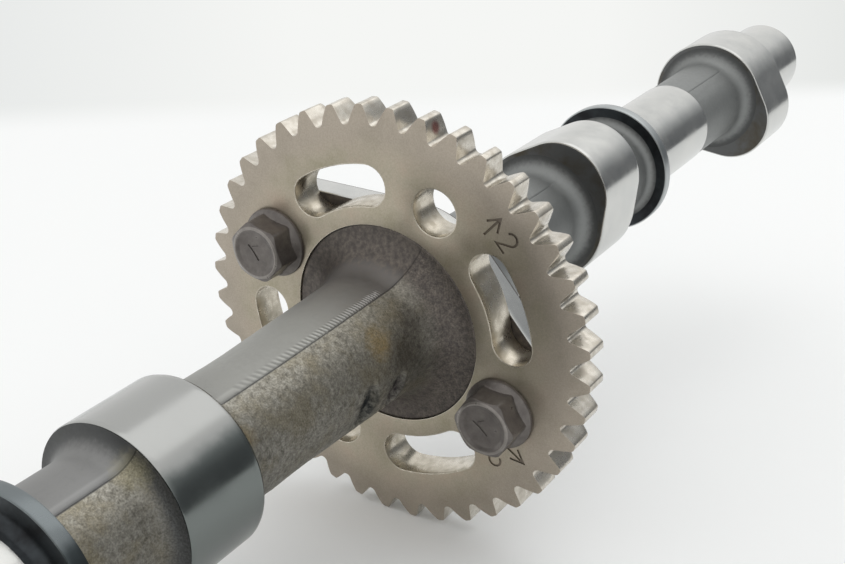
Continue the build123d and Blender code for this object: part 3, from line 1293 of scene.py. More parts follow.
@dataclass(frozen=True)
class CastIron:
    """Shot-blasted, oil-stained chilled iron, straight from the mould.

    An even grey above the mould's seam; below it, on the near half, a mottled
    grey-brown skin with bright and dark pits of about 0.3 mm, which painted
    shade darkens towards the underside. Round the hub it is brown-black, where
    hot oil baked on. The slate grey in the lobes' corners, the near-black in the
    two hollows and the dark line in the seam's groove are painted shade, and
    the trimming marks carry painted highlights and shade.
    """

    name: str = "chilled_iron_as_cast"
    neck_grey: str = "#8C8C8B"
    near_grey: str = "#9C9C98"
    hub_grey: str = "#807D7B"
    far_grey: str = "#8C8E8D"
    # painted shade in the lobes' hollow corners
    corner_painted_shade: str = "#525353"
    lower_dark: str = "#75726A"
    lower: str = "#8D8A81"
    lower_light: str = "#A3A097"
    brown: str = "#867E69"
    hub_dark: str = "#55504D"
    hub: str = "#6E6760"
    seam_angle: float = SEAM_ANGLE
    grain_mm: float = 0.3
    tick_length: float = 1.7
    patches: tuple[Patch, ...] = (
        Patch(60, -19.5, 11.8, 4.0, "#A8905A", 0.5),
        Patch(80, -14.5, 11.6, 5.0, "#3F3B36", 0.6),
        Patch(60, -10.5, 14.0, 4.5, "#453F3B", 0.5),
        # painted shade: near-black in the floors of the two hollows
        Patch(112.0, -25.2, 10.4, 5.0, "#1C2022", 0.97),
        Patch(116.0, -16.8, 10.8, 4.6, "#221B1E", 0.97),
        Patch(60, -54.6, 11.5, 3.0, "#8F7F5E", 0.5),
        Patch(33, -74.5, 12.0, 4.0, "#8A8468", 0.5),
        Patch(72, -88.5, 11.5, 4.0, "#8B8266", 0.5),
    )

    def _painted_seam_shading(
        self, tree: bpy.types.NodeTree, parts: bpy.types.Node
    ) -> bpy.types.NodeSocket:
        """Paint shade into the seam's groove, and highlights and shade across the trimming marks
        that stand on it.

        Args:
            tree: Node tree of the material.
            parts: Node that gives the coordinates about the seam.

        Returns:
            The factor by which the painted highlights and shade brighten or darken the skin.
        """
        first, last = -TICK_START, -TICK_END
        # painted highlights and shade: bright and dark stripes across the trimming marks
        share = add_node(
            tree, "ShaderNodeMapRange", links={"Value": parts.outputs["Z"]},
            sockets={
                "From Min": first,
                "From Max": last,
                "To Min": 1.0,
                "To Max": 1 + TICK_GROWTH,
            },
        )
        power = add_node(
            tree, "ShaderNodeMath", links={0: share}, sockets={1: math.e}, operation="LOGARITHM",
        )
        slant = add_node(
            tree, "ShaderNodeMath", links={0: parts.outputs["Y"]}, sockets={1: TICK_SLANT, 2: 0.0},
            operation="MULTIPLY_ADD",
        )
        phase = add_node(
            tree, "ShaderNodeMath", links={0: power, 2: slant}, sockets={1: TICK_CYCLES},
            operation="MULTIPLY_ADD",
        )
        wave = add_node(
            tree, "ShaderNodeMath", links={0: phase}, sockets={1: 0.5}, operation="PINGPONG",
        )
        stroke = add_node(
            tree, "ShaderNodeMapRange", links={"Value": wave},
            sockets={"From Min": 0.12, "From Max": 0.45, "To Min": -0.42, "To Max": 0.75},
        )
        length = add_node(
            tree, "ShaderNodeMapRange", links={"Value": parts.outputs["Y"]},
            sockets={"From Min": -self.tick_length, "From Max": 0.5 - self.tick_length},
        )
        foot = add_node(
            tree, "ShaderNodeMapRange", links={"Value": parts.outputs["Y"]},
            sockets={"From Min": 0.0, "From Max": -0.2},
        )
        fade = add_node(
            tree, "ShaderNodeMapRange", links={"Value": parts.outputs["Z"]},
            sockets={"From Min": last, "From Max": first, "To Min": 0.25},
        )
        start = add_node(
            tree, "ShaderNodeMapRange", links={"Value": parts.outputs["Z"]},
            sockets={"From Min": first, "From Max": first - 1.0},
        )
        marks = stroke.outputs["Result"]
        for mask in (length, foot, fade, start):
            marks = add_node(
                tree, "ShaderNodeMath", links={0: marks, 1: mask}, operation="MULTIPLY",
            ).outputs["Value"]
        # painted shade: a dark line along the seam's groove
        groove = add_node(
            tree, "ShaderNodeMath", links={0: parts.outputs["Y"]}, sockets={1: 0.05, 2: 0.13},
            operation="COMPARE",
        )
        side = add_node(
            tree, "ShaderNodeMapRange", links={"Value": parts.outputs["X"]},
            sockets={"From Min": 5.0, "From Max": 8.0, "To Max": -0.5},
        )
        near = add_node(
            tree, "ShaderNodeMapRange", links={"Value": parts.outputs["Z"]},
            sockets={"From Min": 0.0, "From Max": -6.0},
        )
        line = groove.outputs["Value"]
        for mask in (side, near):
            line = add_node(
                tree, "ShaderNodeMath", links={0: line, 1: mask}, operation="MULTIPLY",
            ).outputs["Value"]
        both = add_node(tree, "ShaderNodeMath", links={0: marks, 1: line}, operation="ADD")
        factor = add_node(
            tree, "ShaderNodeMath", links={0: both}, sockets={1: 1.0}, operation="ADD",
        )
        return factor.outputs["Value"]

    def build(self) -> bpy.types.Material:
        """Return the material."""
        material, tree, shader = new_material(self.name)
        place = local_coordinates(tree)
        about_seam = add_node(
            tree, "ShaderNodeMapping", links={"Vector": place},
            sockets={"Rotation": (0, 0, math.radians(-self.seam_angle))},
        )
        parts = add_node(tree, "ShaderNodeSeparateXYZ", links={"Vector": about_seam})
        flat = add_node(
            tree, "ShaderNodeVectorMath", links={0: place}, sockets={1: (1, 1, 0)},
            operation="MULTIPLY",
        )
        radius = add_node(tree, "ShaderNodeVectorMath", links={0: flat}, operation="LENGTH")
        clouds = add_node(
            tree, "ShaderNodeTexNoise", links={"Vector": place},
            sockets={"Scale": 0.16, "Detail": 5.0, "Roughness": 0.62},
        )
        mottle = add_node(
            tree, "ShaderNodeTexNoise", links={"Vector": place},
            sockets={"Scale": 1.1, "Detail": 6.0, "Roughness": 0.66},
        )
        grain = add_node(
            tree, "ShaderNodeTexNoise", links={"Vector": place},
            sockets={"Scale": 1 / self.grain_mm, "Detail": 2.0, "Roughness": 0.5},
        )
        # grey of the upper side, from the near end to the far end
        along = add_node(
            tree, "ShaderNodeMapRange", links={"Value": parts.outputs["Z"]},
            sockets={"From Min": -100.0, "From Max": 100.0},
        )
        grey = add_node(
            tree,
            "ShaderNodeValToRGB",
            links={"Fac": along},
            stops=[
                (0.14, self.neck_grey),
                (0.25, self.near_grey),
                (0.36, self.near_grey),
                (0.45, self.hub_grey),
                (0.6, self.far_grey),
            ],
        )
        # mottled skin below the seam, on the near half only
        lower = add_node(
            tree, "ShaderNodeValToRGB", links={"Fac": mottle},
            stops=[(0.36, self.lower_dark), (0.5, self.lower), (0.68, self.lower_light)],
        )
        stain = add_node(
            tree, "ShaderNodeMapRange", links={"Value": clouds},
            sockets={"From Min": 0.46, "From Max": 0.64, "To Max": 0.55},
        )
        lower = add_node(
            tree, "ShaderNodeMix", links={"Factor": stain, 6: lower},
            sockets={7: linear(self.brown)}, data_type="RGBA",
        )
        # painted shade: paler just under the seam, darker towards the underside
        underside_painted_shade = add_node(
            tree, "ShaderNodeMapRange", links={"Value": parts.outputs["Y"]},
            sockets={"From Max": 9.5, "To Min": 1.35, "To Max": 0.7},
        )
        lower = add_node(
            tree, "ShaderNodeVectorMath", links={0: lower, "Scale": underside_painted_shade}, operation="SCALE",
        )
        below = add_node(
            tree, "ShaderNodeMapRange", links={"Value": parts.outputs["Y"]},
            sockets={"From Min": -0.05, "From Max": 0.3},
        )
        near = add_node(
            tree, "ShaderNodeMapRange", links={"Value": parts.outputs["Z"]},
            sockets={"From Min": 6.0, "From Max": 0.0},
        )
        mottled = add_node(tree, "ShaderNodeMath", links={0: below, 1: near}, operation="MULTIPLY")
        colour = add_node(
            tree, "ShaderNodeMix", links={"Factor": mottled, 6: grey, 7: lower}, data_type="RGBA",
        )
        wobble = add_node(
            tree, "ShaderNodeMath", links={0: mottle, 2: radius}, sockets={1: 2.0},
            operation="MULTIPLY_ADD",
        )
        # painted shade: slate grey darkens the lobes' hollow corners
        corner = add_node(
            tree, "ShaderNodeMapRange", links={"Value": wobble},
            sockets={"From Min": 12.0, "From Max": 14.4, "To Max": 0.95},
            interpolation_type="SMOOTHSTEP",
        )
        outside = add_node(
            tree, "ShaderNodeMath", links={0: parts.outputs["Z"]}, operation="ABSOLUTE",
        )
        outside = add_node(
            tree, "ShaderNodeMapRange", links={"Value": outside},
            sockets={"From Min": 46.0, "From Max": 50.0},
        )
        corner = add_node(
            tree, "ShaderNodeMath", links={0: corner, 1: outside}, operation="MULTIPLY",
        )
        colour = add_node(
            tree, "ShaderNodeMix", links={"Factor": corner, 6: colour},
            sockets={7: linear(self.corner_painted_shade)}, data_type="RGBA",
        )
        # baked oil round the hub
        baked = add_node(
            tree, "ShaderNodeMapRange", links={"Value": wobble},
            sockets={"From Min": 12.6, "From Max": 15.6}, interpolation_type="SMOOTHSTEP",
        )
        inside = add_node(
            tree, "ShaderNodeMath", links={0: baked, 1: outside}, operation="SUBTRACT",
            use_clamp=True,
        )
        hub = add_node(
            tree, "ShaderNodeValToRGB", links={"Fac": mottle},
            stops=[(0.4, self.hub_dark), (0.66, self.hub)],
        )
        colour = add_node(
            tree, "ShaderNodeMix", links={"Factor": inside, 6: colour, 7: hub}, data_type="RGBA",
        )
        for patch in self.patches:
            away = add_node(
                tree, "ShaderNodeVectorMath", links={0: place}, sockets={1: patch.middle},
                operation="DISTANCE",
            )
            ragged = add_node(
                tree, "ShaderNodeMath", links={0: mottle, 2: away}, sockets={1: 0.9 * patch.size},
                operation="MULTIPLY_ADD",
            )
            share = add_node(
                tree,
                "ShaderNodeMapRange",
                links={"Value": ragged},
                sockets={
                    "From Min": 1.4 * patch.size,
                    "From Max": 0.75 * patch.size,
                    "To Max": patch.strength,
                },
            )
            colour = add_node(
                tree, "ShaderNodeMix", links={"Factor": share, 6: colour},
                sockets={7: linear(patch.colour)}, data_type="RGBA",
            )
        # pits and bright grains, weaker on the smooth skin
        speck = add_node(
            tree, "ShaderNodeMapRange", links={"Value": grain},
            sockets={"From Min": 0.3, "From Max": 0.72, "To Min": 0.72, "To Max": 1.3},
        )
        speck = add_node(
            tree, "ShaderNodeMix", links={"Factor": mottled, 3: speck}, sockets={2: 1.0},
        )
        # painted highlights and shade of the seam and its marks
        seam_painted_shading = self._painted_seam_shading(tree, parts)
        speck = add_node(
            tree, "ShaderNodeMath", links={0: speck.outputs[0], 1: seam_painted_shading}, operation="MULTIPLY",
        )
        shade = add_node(
            tree, "ShaderNodeVectorMath", links={0: colour, "Scale": speck}, operation="SCALE",
        )
        tree.links.new(shade.outputs["Vector"], shader.inputs["Base Color"])
        rough = add_node(
            tree, "ShaderNodeMapRange", links={"Value": mottle},
            sockets={"From Min": 0.3, "From Max": 0.7, "To Min": 0.6, "To Max": 0.46},
        )
        tree.links.new(rough.outputs["Result"], shader.inputs["Roughness"])
        shader.inputs["Metallic"].default_value = 0.8
        depth = add_node(
            tree, "ShaderNodeMix", links={"Factor": mottled, 3: grain}, sockets={2: 0.5},
        )
        bump = add_node(
            tree, "ShaderNodeBump", links={"Height": depth.outputs[0]},
            sockets={"Strength": 0.5, "Distance": 0.00012},
        )
        tree.links.new(bump.outputs["Normal"], shader.inputs["Normal"])
        return material


@dataclass(frozen=True)
class GroundIron:
    """Chilled iron, cylindrically ground: bright, with fine rings round the axis.

    On the near inner lobe a painted dark reflection covers the ground surface,
    paler over the first part of the turn and darker on the rest of it.
    """

    name: str = "chilled_iron_ground"
    colour: str = "#CDCDCA"
    shade: str = "#C0C1BF"
    painted_reflection: str = "#747977"
    painted_reflection_pale: str = "#A6A7A5"
    painted_reflection_stations: tuple[float, float] = (-80.0, -50.0)
    painted_reflection_turn: tuple[float, float] = (44.0, 56.0)
    ring_mm: float = 0.12
    roughness: float = 0.2

    def build(self) -> bpy.types.Material:
        """Return the material."""
        material, tree, shader = new_material(self.name)
        place = local_coordinates(tree)
        stretch = add_node(
            tree, "ShaderNodeMapping", links={"Vector": place},
            sockets={"Scale": (0.05, 0.05, 1 / self.ring_mm)},
        )
        rings = add_node(
            tree, "ShaderNodeTexNoise", links={"Vector": stretch},
            sockets={"Scale": 1.0, "Detail": 3.0, "Roughness": 0.6},
        )
        clouds = add_node(
            tree, "ShaderNodeTexNoise", links={"Vector": place},
            sockets={"Scale": 0.16, "Detail": 4.0, "Roughness": 0.6},
        )
        colour = add_node(
            tree, "ShaderNodeValToRGB", links={"Fac": clouds},
            stops=[(0.3, self.shade), (0.65, self.colour)],
        )
        # painted dark reflection on one lobe
        parts = add_node(tree, "ShaderNodeSeparateXYZ", links={"Vector": place})
        turn = add_node(
            tree, "ShaderNodeMath", links={0: parts.outputs["Y"], 1: parts.outputs["X"]},
            operation="ARCTAN2",
        )
        ragged = add_node(
            tree, "ShaderNodeMath", links={0: clouds, 2: turn}, sockets={1: 0.25},
            operation="MULTIPLY_ADD",
        )
        dark_side_share = add_node(
            tree,
            "ShaderNodeMapRange",
            links={"Value": ragged},
            sockets={
                "From Min": math.radians(self.painted_reflection_turn[0]) + 0.12,
                "From Max": math.radians(self.painted_reflection_turn[1]) + 0.12,
            },
            interpolation_type="SMOOTHSTEP",
        )
        painted_reflection = add_node(
            tree, "ShaderNodeMix", links={"Factor": dark_side_share},
            sockets={6: linear(self.painted_reflection_pale), 7: linear(self.painted_reflection)}, data_type="RGBA",
        )
        middle = sum(self.painted_reflection_stations) / 2
        away = add_node(
            tree, "ShaderNodeMath", links={0: parts.outputs["Z"]},
            sockets={1: middle, 2: self.painted_reflection_stations[1] - middle}, operation="COMPARE",
        )
        colour = add_node(
            tree, "ShaderNodeMix", links={"Factor": away, 6: colour, 7: painted_reflection}, data_type="RGBA",
        )
        tree.links.new(colour.outputs[2], shader.inputs["Base Color"])
        rough = add_node(
            tree,
            "ShaderNodeMapRange",
            links={"Value": clouds},
            sockets={
                "From Min": 0.3,
                "From Max": 0.7,
                "To Min": self.roughness * 0.8,
                "To Max": self.roughness * 1.3,
            },
        )
        tree.links.new(rough.outputs["Result"], shader.inputs["Roughness"])
        shader.inputs["Metallic"].default_value = 1.0
        bump = add_node(
            tree, "ShaderNodeBump", links={"Height": rings},
            sockets={"Strength": 0.12, "Distance": 0.00002},
        )
        tree.links.new(bump.outputs["Normal"], shader.inputs["Normal"])
        return material


@dataclass(frozen=True)
class TurnedFace:
    """Side of a lobe, turned, then darkened by oil. A much darker copy of it on the collars is
    painted shade.
    """

    name: str = "turned_iron_oil_darkened"
    colour: str = "#626363"
    stain: str = "#565148"
    roughness: float = 0.42

    def build(self) -> bpy.types.Material:
        """Return the material."""
        material, tree, shader = new_material(self.name)
        place = local_coordinates(tree)
        clouds = add_node(
            tree, "ShaderNodeTexNoise", links={"Vector": place},
            sockets={"Scale": 0.14, "Detail": 6.0, "Roughness": 0.62, "Distortion": 0.4},
        )
        colour = add_node(
            tree, "ShaderNodeValToRGB", links={"Fac": clouds},
            stops=[(0.34, self.stain), (0.56, self.colour)],
        )
        tree.links.new(colour.outputs["Color"], shader.inputs["Base Color"])
        shader.inputs["Metallic"].default_value = 0.9
        shader.inputs["Roughness"].default_value = self.roughness
        grain = add_node(
            tree, "ShaderNodeTexNoise", links={"Vector": place},
            sockets={"Scale": 2.2, "Detail": 2.0},
        )
        bump = add_node(
            tree, "ShaderNodeBump", links={"Height": grain},
            sockets={"Strength": 0.12, "Distance": 0.00005},
        )
        tree.links.new(bump.outputs["Normal"], shader.inputs["Normal"])
        return material


@dataclass(frozen=True)
class SinteredSteel:
    """Pressed and sintered steel, tempered to a straw tint.

    The flat face keeps the straw colour and turns a pinkish grey towards
    the teeth, with painted shade over one side of its inner part. Its pores
    show as a fine, faint grain.
    """

    name: str = "sintered_steel_straw"
    straw: str = "#B3AA99"
    olive: str = "#A59E89"
    warm: str = "#B8A998"
    pink: str = "#AEA497"
    shadow: str = "#A0978A"
    # painted shade: direction of the darkened side
    painted_shade_turn: float = 72.0
    tint_start: float = 31.0
    tint_end: float = 38.0
    pore_mm: float = 0.28
    roughness: float = 0.44

    def build(self) -> bpy.types.Material:
        """Return the material."""
        material, tree, shader = new_material(self.name)
        place = local_coordinates(tree)
        flat = add_node(
            tree, "ShaderNodeVectorMath", links={0: place}, sockets={1: (1, 1, 0)},
            operation="MULTIPLY",
        )
        radius = add_node(tree, "ShaderNodeVectorMath", links={0: flat}, operation="LENGTH")
        clouds = add_node(
            tree, "ShaderNodeTexNoise", links={"Vector": place},
            sockets={"Scale": 1 / 9.0, "Detail": 5.0, "Roughness": 0.6},
        )
        inner = add_node(
            tree, "ShaderNodeValToRGB", links={"Fac": clouds},
            stops=[(0.32, self.olive), (0.5, self.straw), (0.7, self.warm)],
        )
        outer = add_node(
            tree, "ShaderNodeValToRGB", links={"Fac": clouds},
            stops=[(0.3, self.shadow), (0.6, self.pink)],
        )
        wobble = add_node(
            tree, "ShaderNodeMath", links={0: clouds, 2: radius}, sockets={1: 6.0},
            operation="MULTIPLY_ADD",
        )
        edge = add_node(
            tree, "ShaderNodeMapRange", links={"Value": wobble},
            sockets={"From Min": self.tint_start + 3, "From Max": self.tint_end + 3},
            interpolation_type="SMOOTHSTEP",
        )
        colour = add_node(
            tree, "ShaderNodeMix", links={"Factor": edge, 6: inner, 7: outer}, data_type="RGBA",
        )
        # painted shade: one side of the inner face is darkened
        shade_middle = on_circle(28.0, self.painted_shade_turn).to_3d()
        away = add_node(
            tree, "ShaderNodeVectorMath", links={0: place}, sockets={1: shade_middle},
            operation="DISTANCE",
        )
        painted_shade = add_node(
            tree, "ShaderNodeMapRange", links={"Value": away},
            sockets={"From Min": 4.0, "From Max": 30.0, "To Min": 0.66, "To Max": 1.0},
            interpolation_type="SMOOTHSTEP",
        )
        pores = add_node(
            tree, "ShaderNodeTexNoise", links={"Vector": place},
            sockets={"Scale": 1 / self.pore_mm, "Detail": 3.0, "Roughness": 0.55},
        )
        speck = add_node(
            tree, "ShaderNodeMapRange", links={"Value": pores},
            sockets={"From Min": 0.3, "From Max": 0.7, "To Min": 0.9, "To Max": 1.08},
        )
        tone = add_node(tree, "ShaderNodeMath", links={0: speck, 1: painted_shade}, operation="MULTIPLY")
        shade = add_node(
            tree, "ShaderNodeVectorMath", links={0: colour, "Scale": tone}, operation="SCALE",
        )
        tree.links.new(shade.outputs["Vector"], shader.inputs["Base Color"])
        shader.inputs["Metallic"].default_value = 0.8
        shader.inputs["Roughness"].default_value = self.roughness
        bump = add_node(
            tree, "ShaderNodeBump", links={"Height": pores},
            sockets={"Strength": 0.1, "Distance": 0.00003},
        )
        tree.links.new(bump.outputs["Normal"], shader.inputs["Normal"])
        return material


@dataclass(frozen=True)
class RubbedSteel:
    """Tooth flanks and window walls: pressed smooth, polished by die and chain.

    A small stain lies on the flanks: a spot of red marking paint.
    """

    name: str = "sintered_steel_rubbed"
    colour: str = "#D3CEC4"
    shade: str = "#B9B2A6"
    paint: str = "#8E4A44"
    paint_angle: float = 15.6
    roughness: float = 0.27

    def build(self) -> bpy.types.Material:
        """Return the material."""
        material, tree, shader = new_material(self.name)
        place = local_coordinates(tree)
        clouds = add_node(
            tree, "ShaderNodeTexNoise", links={"Vector": place},
            sockets={"Scale": 0.6, "Detail": 3.0, "Roughness": 0.5},
        )
        colour = add_node(
            tree, "ShaderNodeValToRGB", links={"Fac": clouds},
            stops=[(0.3, self.shade), (0.62, self.colour)],
        )
        spot = on_circle(40.3, self.paint_angle).to_3d()
        away = add_node(
            tree, "ShaderNodeVectorMath", links={0: place}, sockets={1: spot},
            operation="DISTANCE",
        )
        painted = add_node(
            tree, "ShaderNodeMapRange", links={"Value": away},
            sockets={"From Min": 1.5, "From Max": 0.7, "To Max": 0.8},
        )
        colour = add_node(
            tree, "ShaderNodeMix", links={"Factor": painted, 6: colour},
            sockets={7: linear(self.paint)}, data_type="RGBA",
        )
        tree.links.new(colour.outputs[2], shader.inputs["Base Color"])
        shader.inputs["Metallic"].default_value = 0.95
        rough = add_node(
            tree,
            "ShaderNodeMapRange",
            links={"Value": clouds},
            sockets={
                "From Min": 0.3,
                "From Max": 0.7,
                "To Min": self.roughness * 1.3,
                "To Max": self.roughness * 0.8,
            },
        )
        tree.links.new(rough.outputs["Result"], shader.inputs["Roughness"])
        return material


@dataclass(frozen=True)
class BlackenedSteel:
    """Bolt steel, heat-blackened and oiled: dark brown-grey with a soft sheen."""

    name: str = "bolt_steel_blackened"
    colour: str = "#5F5A57"
    worn: str = "#76716D"
    roughness: float = 0.32

    def build(self) -> bpy.types.Material:
        """Return the material."""
        material, tree, shader = new_material(self.name)
        place = local_coordinates(tree)
        clouds = add_node(
            tree, "ShaderNodeTexNoise", links={"Vector": place},
            sockets={"Scale": 0.55, "Detail": 5.0, "Roughness": 0.65},
        )
        colour = add_node(
            tree, "ShaderNodeValToRGB", links={"Fac": clouds},
            stops=[(0.35, self.colour), (0.75, self.worn)],
        )
        tree.links.new(colour.outputs["Color"], shader.inputs["Base Color"])
        shader.inputs["Metallic"].default_value = 0.6
        rough = add_node(
            tree,
            "ShaderNodeMapRange",
            links={"Value": clouds},
            sockets={
                "From Min": 0.3,
                "From Max": 0.7,
                "To Min": self.roughness * 1.25,
                "To Max": self.roughness * 0.85,
            },
        )
        tree.links.new(rough.outputs["Result"], shader.inputs["Roughness"])
        grain = add_node(
            tree, "ShaderNodeTexNoise", links={"Vector": place},
            sockets={"Scale": 4.0, "Detail": 2.0},
        )
        bump = add_node(
            tree, "ShaderNodeBump", links={"Height": grain},
            sockets={"Strength": 0.1, "Distance": 0.00003},
        )
        tree.links.new(bump.outputs["Normal"], shader.inputs["Normal"])
        return material


# --------------------------------------------------------------------- studio
@dataclass(frozen=True)
class TablePaper:
    """One wide flat sheet of matt white paper on the table.

    Beyond a line across it, where the paper would bend up, it stands for the pale
    wall, with painted shade making it a little greyer towards both edges of the view.
    """

    name: str = "studio_paper"
    table: str = "#F8F9F9"
    middle: str = "#F5F6F4"
    left_edge: str = "#E8EAE9"
    right_edge: str = "#E4E6E4"
    ahead: tuple[float, float, float] = (0.8455, 0.534, 0.0)
    right: tuple[float, float, float] = (0.534, -0.8455, 0.0)
    viewer: tuple[float, float, float] = (-0.1992, -0.1316, 0.0)
    square: tuple[float, float, float] = (0.5288, 0.8487, 0.0)
    bend: float = 0.669
    softness: float = 0.045
    spread: float = 0.34

    def build(self) -> bpy.types.Material:
        """Return the material."""
        material, tree, shader = new_material(self.name)
        shader.inputs["Base Color"].default_value = linear(self.table)
        shader.inputs["Roughness"].default_value = 0.9
        shader.inputs["Specular IOR Level"].default_value = 0.1
        source = add_node(tree, "ShaderNodeTexCoord")
        place = add_node(
            tree, "ShaderNodeVectorMath", links={0: source.outputs["Object"]},
            sockets={1: self.viewer}, operation="SUBTRACT",
        )
        ahead = add_node(
            tree, "ShaderNodeVectorMath", links={0: place}, sockets={1: self.ahead},
            operation="DOT_PRODUCT",
        )
        right = add_node(
            tree, "ShaderNodeVectorMath", links={0: place}, sockets={1: self.right},
            operation="DOT_PRODUCT",
        )
        aside = add_node(tree, "ShaderNodeMath", links={0: right, 1: ahead}, operation="DIVIDE")
        share = add_node(
            tree, "ShaderNodeMapRange", links={"Value": aside},
            sockets={"From Min": -self.spread, "From Max": self.spread},
        )
        # painted shade: the wall greys towards both edges of the view
        wall = add_node(
            tree,
            "ShaderNodeValToRGB",
            links={"Fac": share},
            stops=[
                (0.0, self.left_edge),
                (0.35, self.middle),
                (0.68, self.middle),
                (1.0, self.right_edge),
            ],
        )
        glow = add_node(tree, "ShaderNodeEmission", links={"Color": wall})
        rays = add_node(tree, "ShaderNodeLightPath")
        seen = add_node(
            tree, "ShaderNodeMath",
            links={0: rays.outputs["Is Camera Ray"], 1: rays.outputs["Is Glossy Ray"]},
            operation="MAXIMUM",
        )
        seen = add_node(
            tree, "ShaderNodeMath", links={0: seen, 1: rays.outputs["Is Transmission Ray"]},
            operation="MAXIMUM",
        )
        across = add_node(
            tree, "ShaderNodeVectorMath", links={0: place}, sockets={1: self.square},
            operation="DOT_PRODUCT",
        )
        beyond = add_node(
            tree, "ShaderNodeMapRange", links={"Value": across},
            sockets={"From Min": self.bend - self.softness, "From Max": self.bend + self.softness},
            interpolation_type="SMOOTHSTEP",
        )
        factor = add_node(tree, "ShaderNodeMath", links={0: seen, 1: beyond}, operation="MULTIPLY")
        blend = add_node(
            tree, "ShaderNodeMixShader",
            links={0: factor, 1: shader.outputs["BSDF"], 2: glow.outputs["Emission"]},
        )
        output = next(node for node in tree.nodes if node.bl_idname == "ShaderNodeOutputMaterial")
        tree.links.new(blend.outputs["Shader"], output.inputs["Surface"])
        return material


@dataclass
class Studio:
    """White paper, a wide soft light overhead, and the camera."""

    lens_mm: float = 57.09
    camera_place: tuple[float, float, float] = (-0.199185, -0.131586, 0.121495)
    look: tuple[float, float, float] = (0.80886, 0.511018, -0.290885)
    up: tuple[float, float, float] = (0.222714, 0.191576, 0.955878)
    table_size: float = 6.0
    lamp_place: tuple[float, float, float] = (0.45, -0.08, 1.15)
    lamp_size: tuple[float, float] = (1.5, 0.9)
    lamp_energy: float = 2.0
    dim_side: tuple[float, float, float] = (0.5455, -0.837, -0.9)

    def _table(self) -> None:
        """Add the sheet of paper that everything lies on."""
        bm = bmesh.new()
        bmesh.ops.create_grid(bm, x_segments=1, y_segments=1, size=self.table_size / 2)
        mesh = bpy.data.meshes.new("studio_paper")
        bm.to_mesh(mesh)
        bm.free()
        mesh.materials.append(TablePaper().build())
        sheet = bpy.data.objects.new("studio_paper", mesh)
        bpy.context.scene.collection.objects.link(sheet)

    def _lamp(self) -> None:
        """Add the wide soft lamp, facing straight down."""
        light = bpy.data.lights.new("softbox", "AREA")
        light.energy = self.lamp_energy
        light.shape = "RECTANGLE"
        light.size, light.size_y = self.lamp_size
        lamp = bpy.data.objects.new("softbox", light)
        lamp.location = self.lamp_place
        bpy.context.scene.collection.objects.link(lamp)

    def _world(self) -> None:
        """Light the room: pale above and to the left, dark low down on the right."""
        world = bpy.data.worlds.new("soft_room")
        bpy.context.scene.world = world
        world.use_nodes = True
        tree = world.node_tree
        tree.nodes.clear()
        source = add_node(tree, "ShaderNodeTexCoord")
        side = add_node(
            tree, "ShaderNodeVectorMath", links={0: source.outputs["Generated"]},
            sockets={1: self.dim_side}, operation="DOT_PRODUCT",
        )
        share = add_node(
            tree, "ShaderNodeMapRange", links={"Value": side},
            sockets={"From Min": -1.0, "From Max": 1.0},
        )
        room = add_node(
            tree,
            "ShaderNodeValToRGB",
            links={"Fac": share},
            stops=[
                (0.0, "#FDFDFC"),
                (0.45, "#FDFDFC"),
                (0.58, "#ECEDED"),
                (0.68, "#BBBDBE"),
                (0.8, "#7E8082"),
                (1.0, "#686A6C"),
            ],
        )
        background = add_node(tree, "ShaderNodeBackground", links={"Color": room})
        add_node(
            tree, "ShaderNodeOutputWorld", links={"Surface": background.outputs["Background"]},
        )

    def _camera(self) -> None:
        """Add the camera and make it the scene's own."""
        data = bpy.data.cameras.new("camera")
        data.lens = self.lens_mm
        data.sensor_width = 36.0
        data.sensor_fit = "HORIZONTAL"
        data.clip_start = 0.01
        look = Vector(self.look).normalized()
        right = look.cross(Vector(self.up)).normalized()
        turn = Matrix((right, right.cross(look), -look)).transposed().to_4x4()
        camera = bpy.data.objects.new("camera", data)
        camera.matrix_world = Matrix.Translation(Vector(self.camera_place)) @ turn
        bpy.context.scene.collection.objects.link(camera)
        bpy.context.scene.camera = camera

    def build(self) -> None:
        """Set up paper, lamp, world and camera."""
        self._table()
        self._lamp()
        self._world()
        self._camera()
        bpy.context.scene.view_settings.view_transform = "Standard"


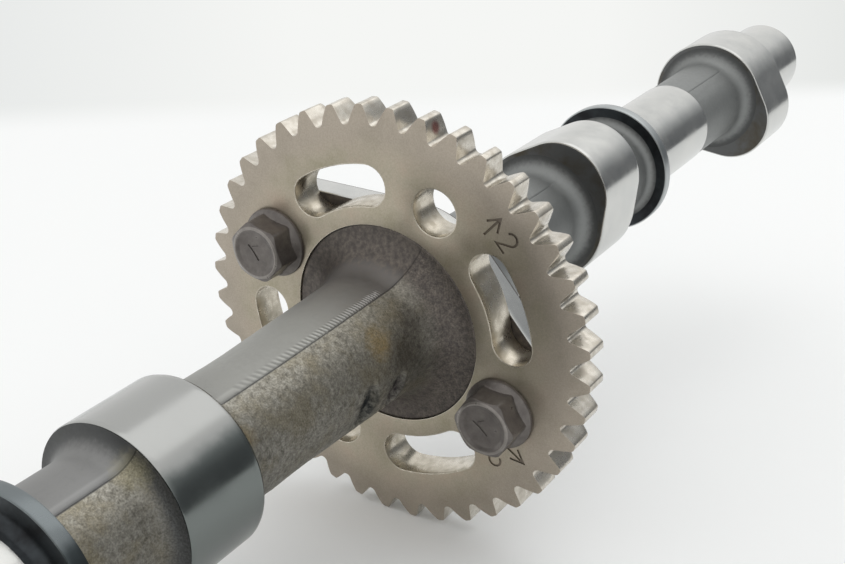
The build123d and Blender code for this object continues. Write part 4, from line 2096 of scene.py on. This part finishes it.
# ----------------------------------------------------------------------- main
def main() -> None:
    """Build the scene and report each piece."""
    logging.basicConfig(level=logging.INFO, format="%(name)s, %(relativeCreated)d ms: %(message)s")
    Studio().build()

    cast = CastIron().build()
    ground = GroundIron().build()
    turned_face = TurnedFace().build()
    # painted shade: a much darker copy of the turned finish on the collars' sides, the corner into
    # the journal and the journal's start
    collar = TurnedFace(
        name="turned_collar_painted_shade", colour="#3E4245", stain="#2B2C2E", roughness=0.4,
    ).build()
    # painted shade: a darker copy of the ground finish on the collars' rims, with painted dark
    # reflection on the near collar's rim
    rim = GroundIron(
        name="ground_collar_rim_painted_shade", colour="#AEB2B3", shade="#A4A9AA", painted_reflection="#4A5052",
        painted_reflection_pale="#767C7E", painted_reflection_stations=(-100.0, -80.0), roughness=0.3,
    ).build()
    casting = Casting().build([cast, ground, turned_face, collar, rim])
    install(casting, "camshaft")

    face = SinteredSteel().build()
    flank = RubbedSteel().build()
    # painted shade: a slightly darker copy of the flank finish on the window walls
    wall = RubbedSteel(
        name="sintered_steel_wall_painted_shade", colour="#CBC4B6", shade="#B0A898", paint_angle=200.0,
    ).build()
    # painted shade: a darker copy of the face finish in the engraved marks
    mark = SinteredSteel(
        name="sintered_steel_stamped_painted_shade", straw="#867C6E", olive="#7D7467", warm="#867A6D",
        pink="#80766D", shadow="#746B62",
    ).build()
    sprocket = Sprocket().build([face, flank, wall, mark])
    install(sprocket, "cam_sprocket")

    black = BlackenedSteel().build()
    thread = BlackenedSteel(
        name="bolt_thread_oiled", colour="#77726E", worn="#8C8782", roughness=0.3,
    ).build()
    # painted highlight: a brighter copy of the bolt finish round the top of each head
    bright = BlackenedSteel(
        name="bolt_edge_painted_highlight", colour="#7F7A76", worn="#948F8A", roughness=0.3,
    ).build()
    seats = zip((BOLT_ANGLE, BOLT_ANGLE + 180), HEAD_TURNS)
    for number, (angle, turn) in enumerate(seats, start=1):
        bolt = FlangeBolt(f"flange_bolt_{number}", angle, turn).build([black, thread, bright])
        install(bolt, f"sprocket_bolt_{number}")


if __name__ == "__main__":
    main()
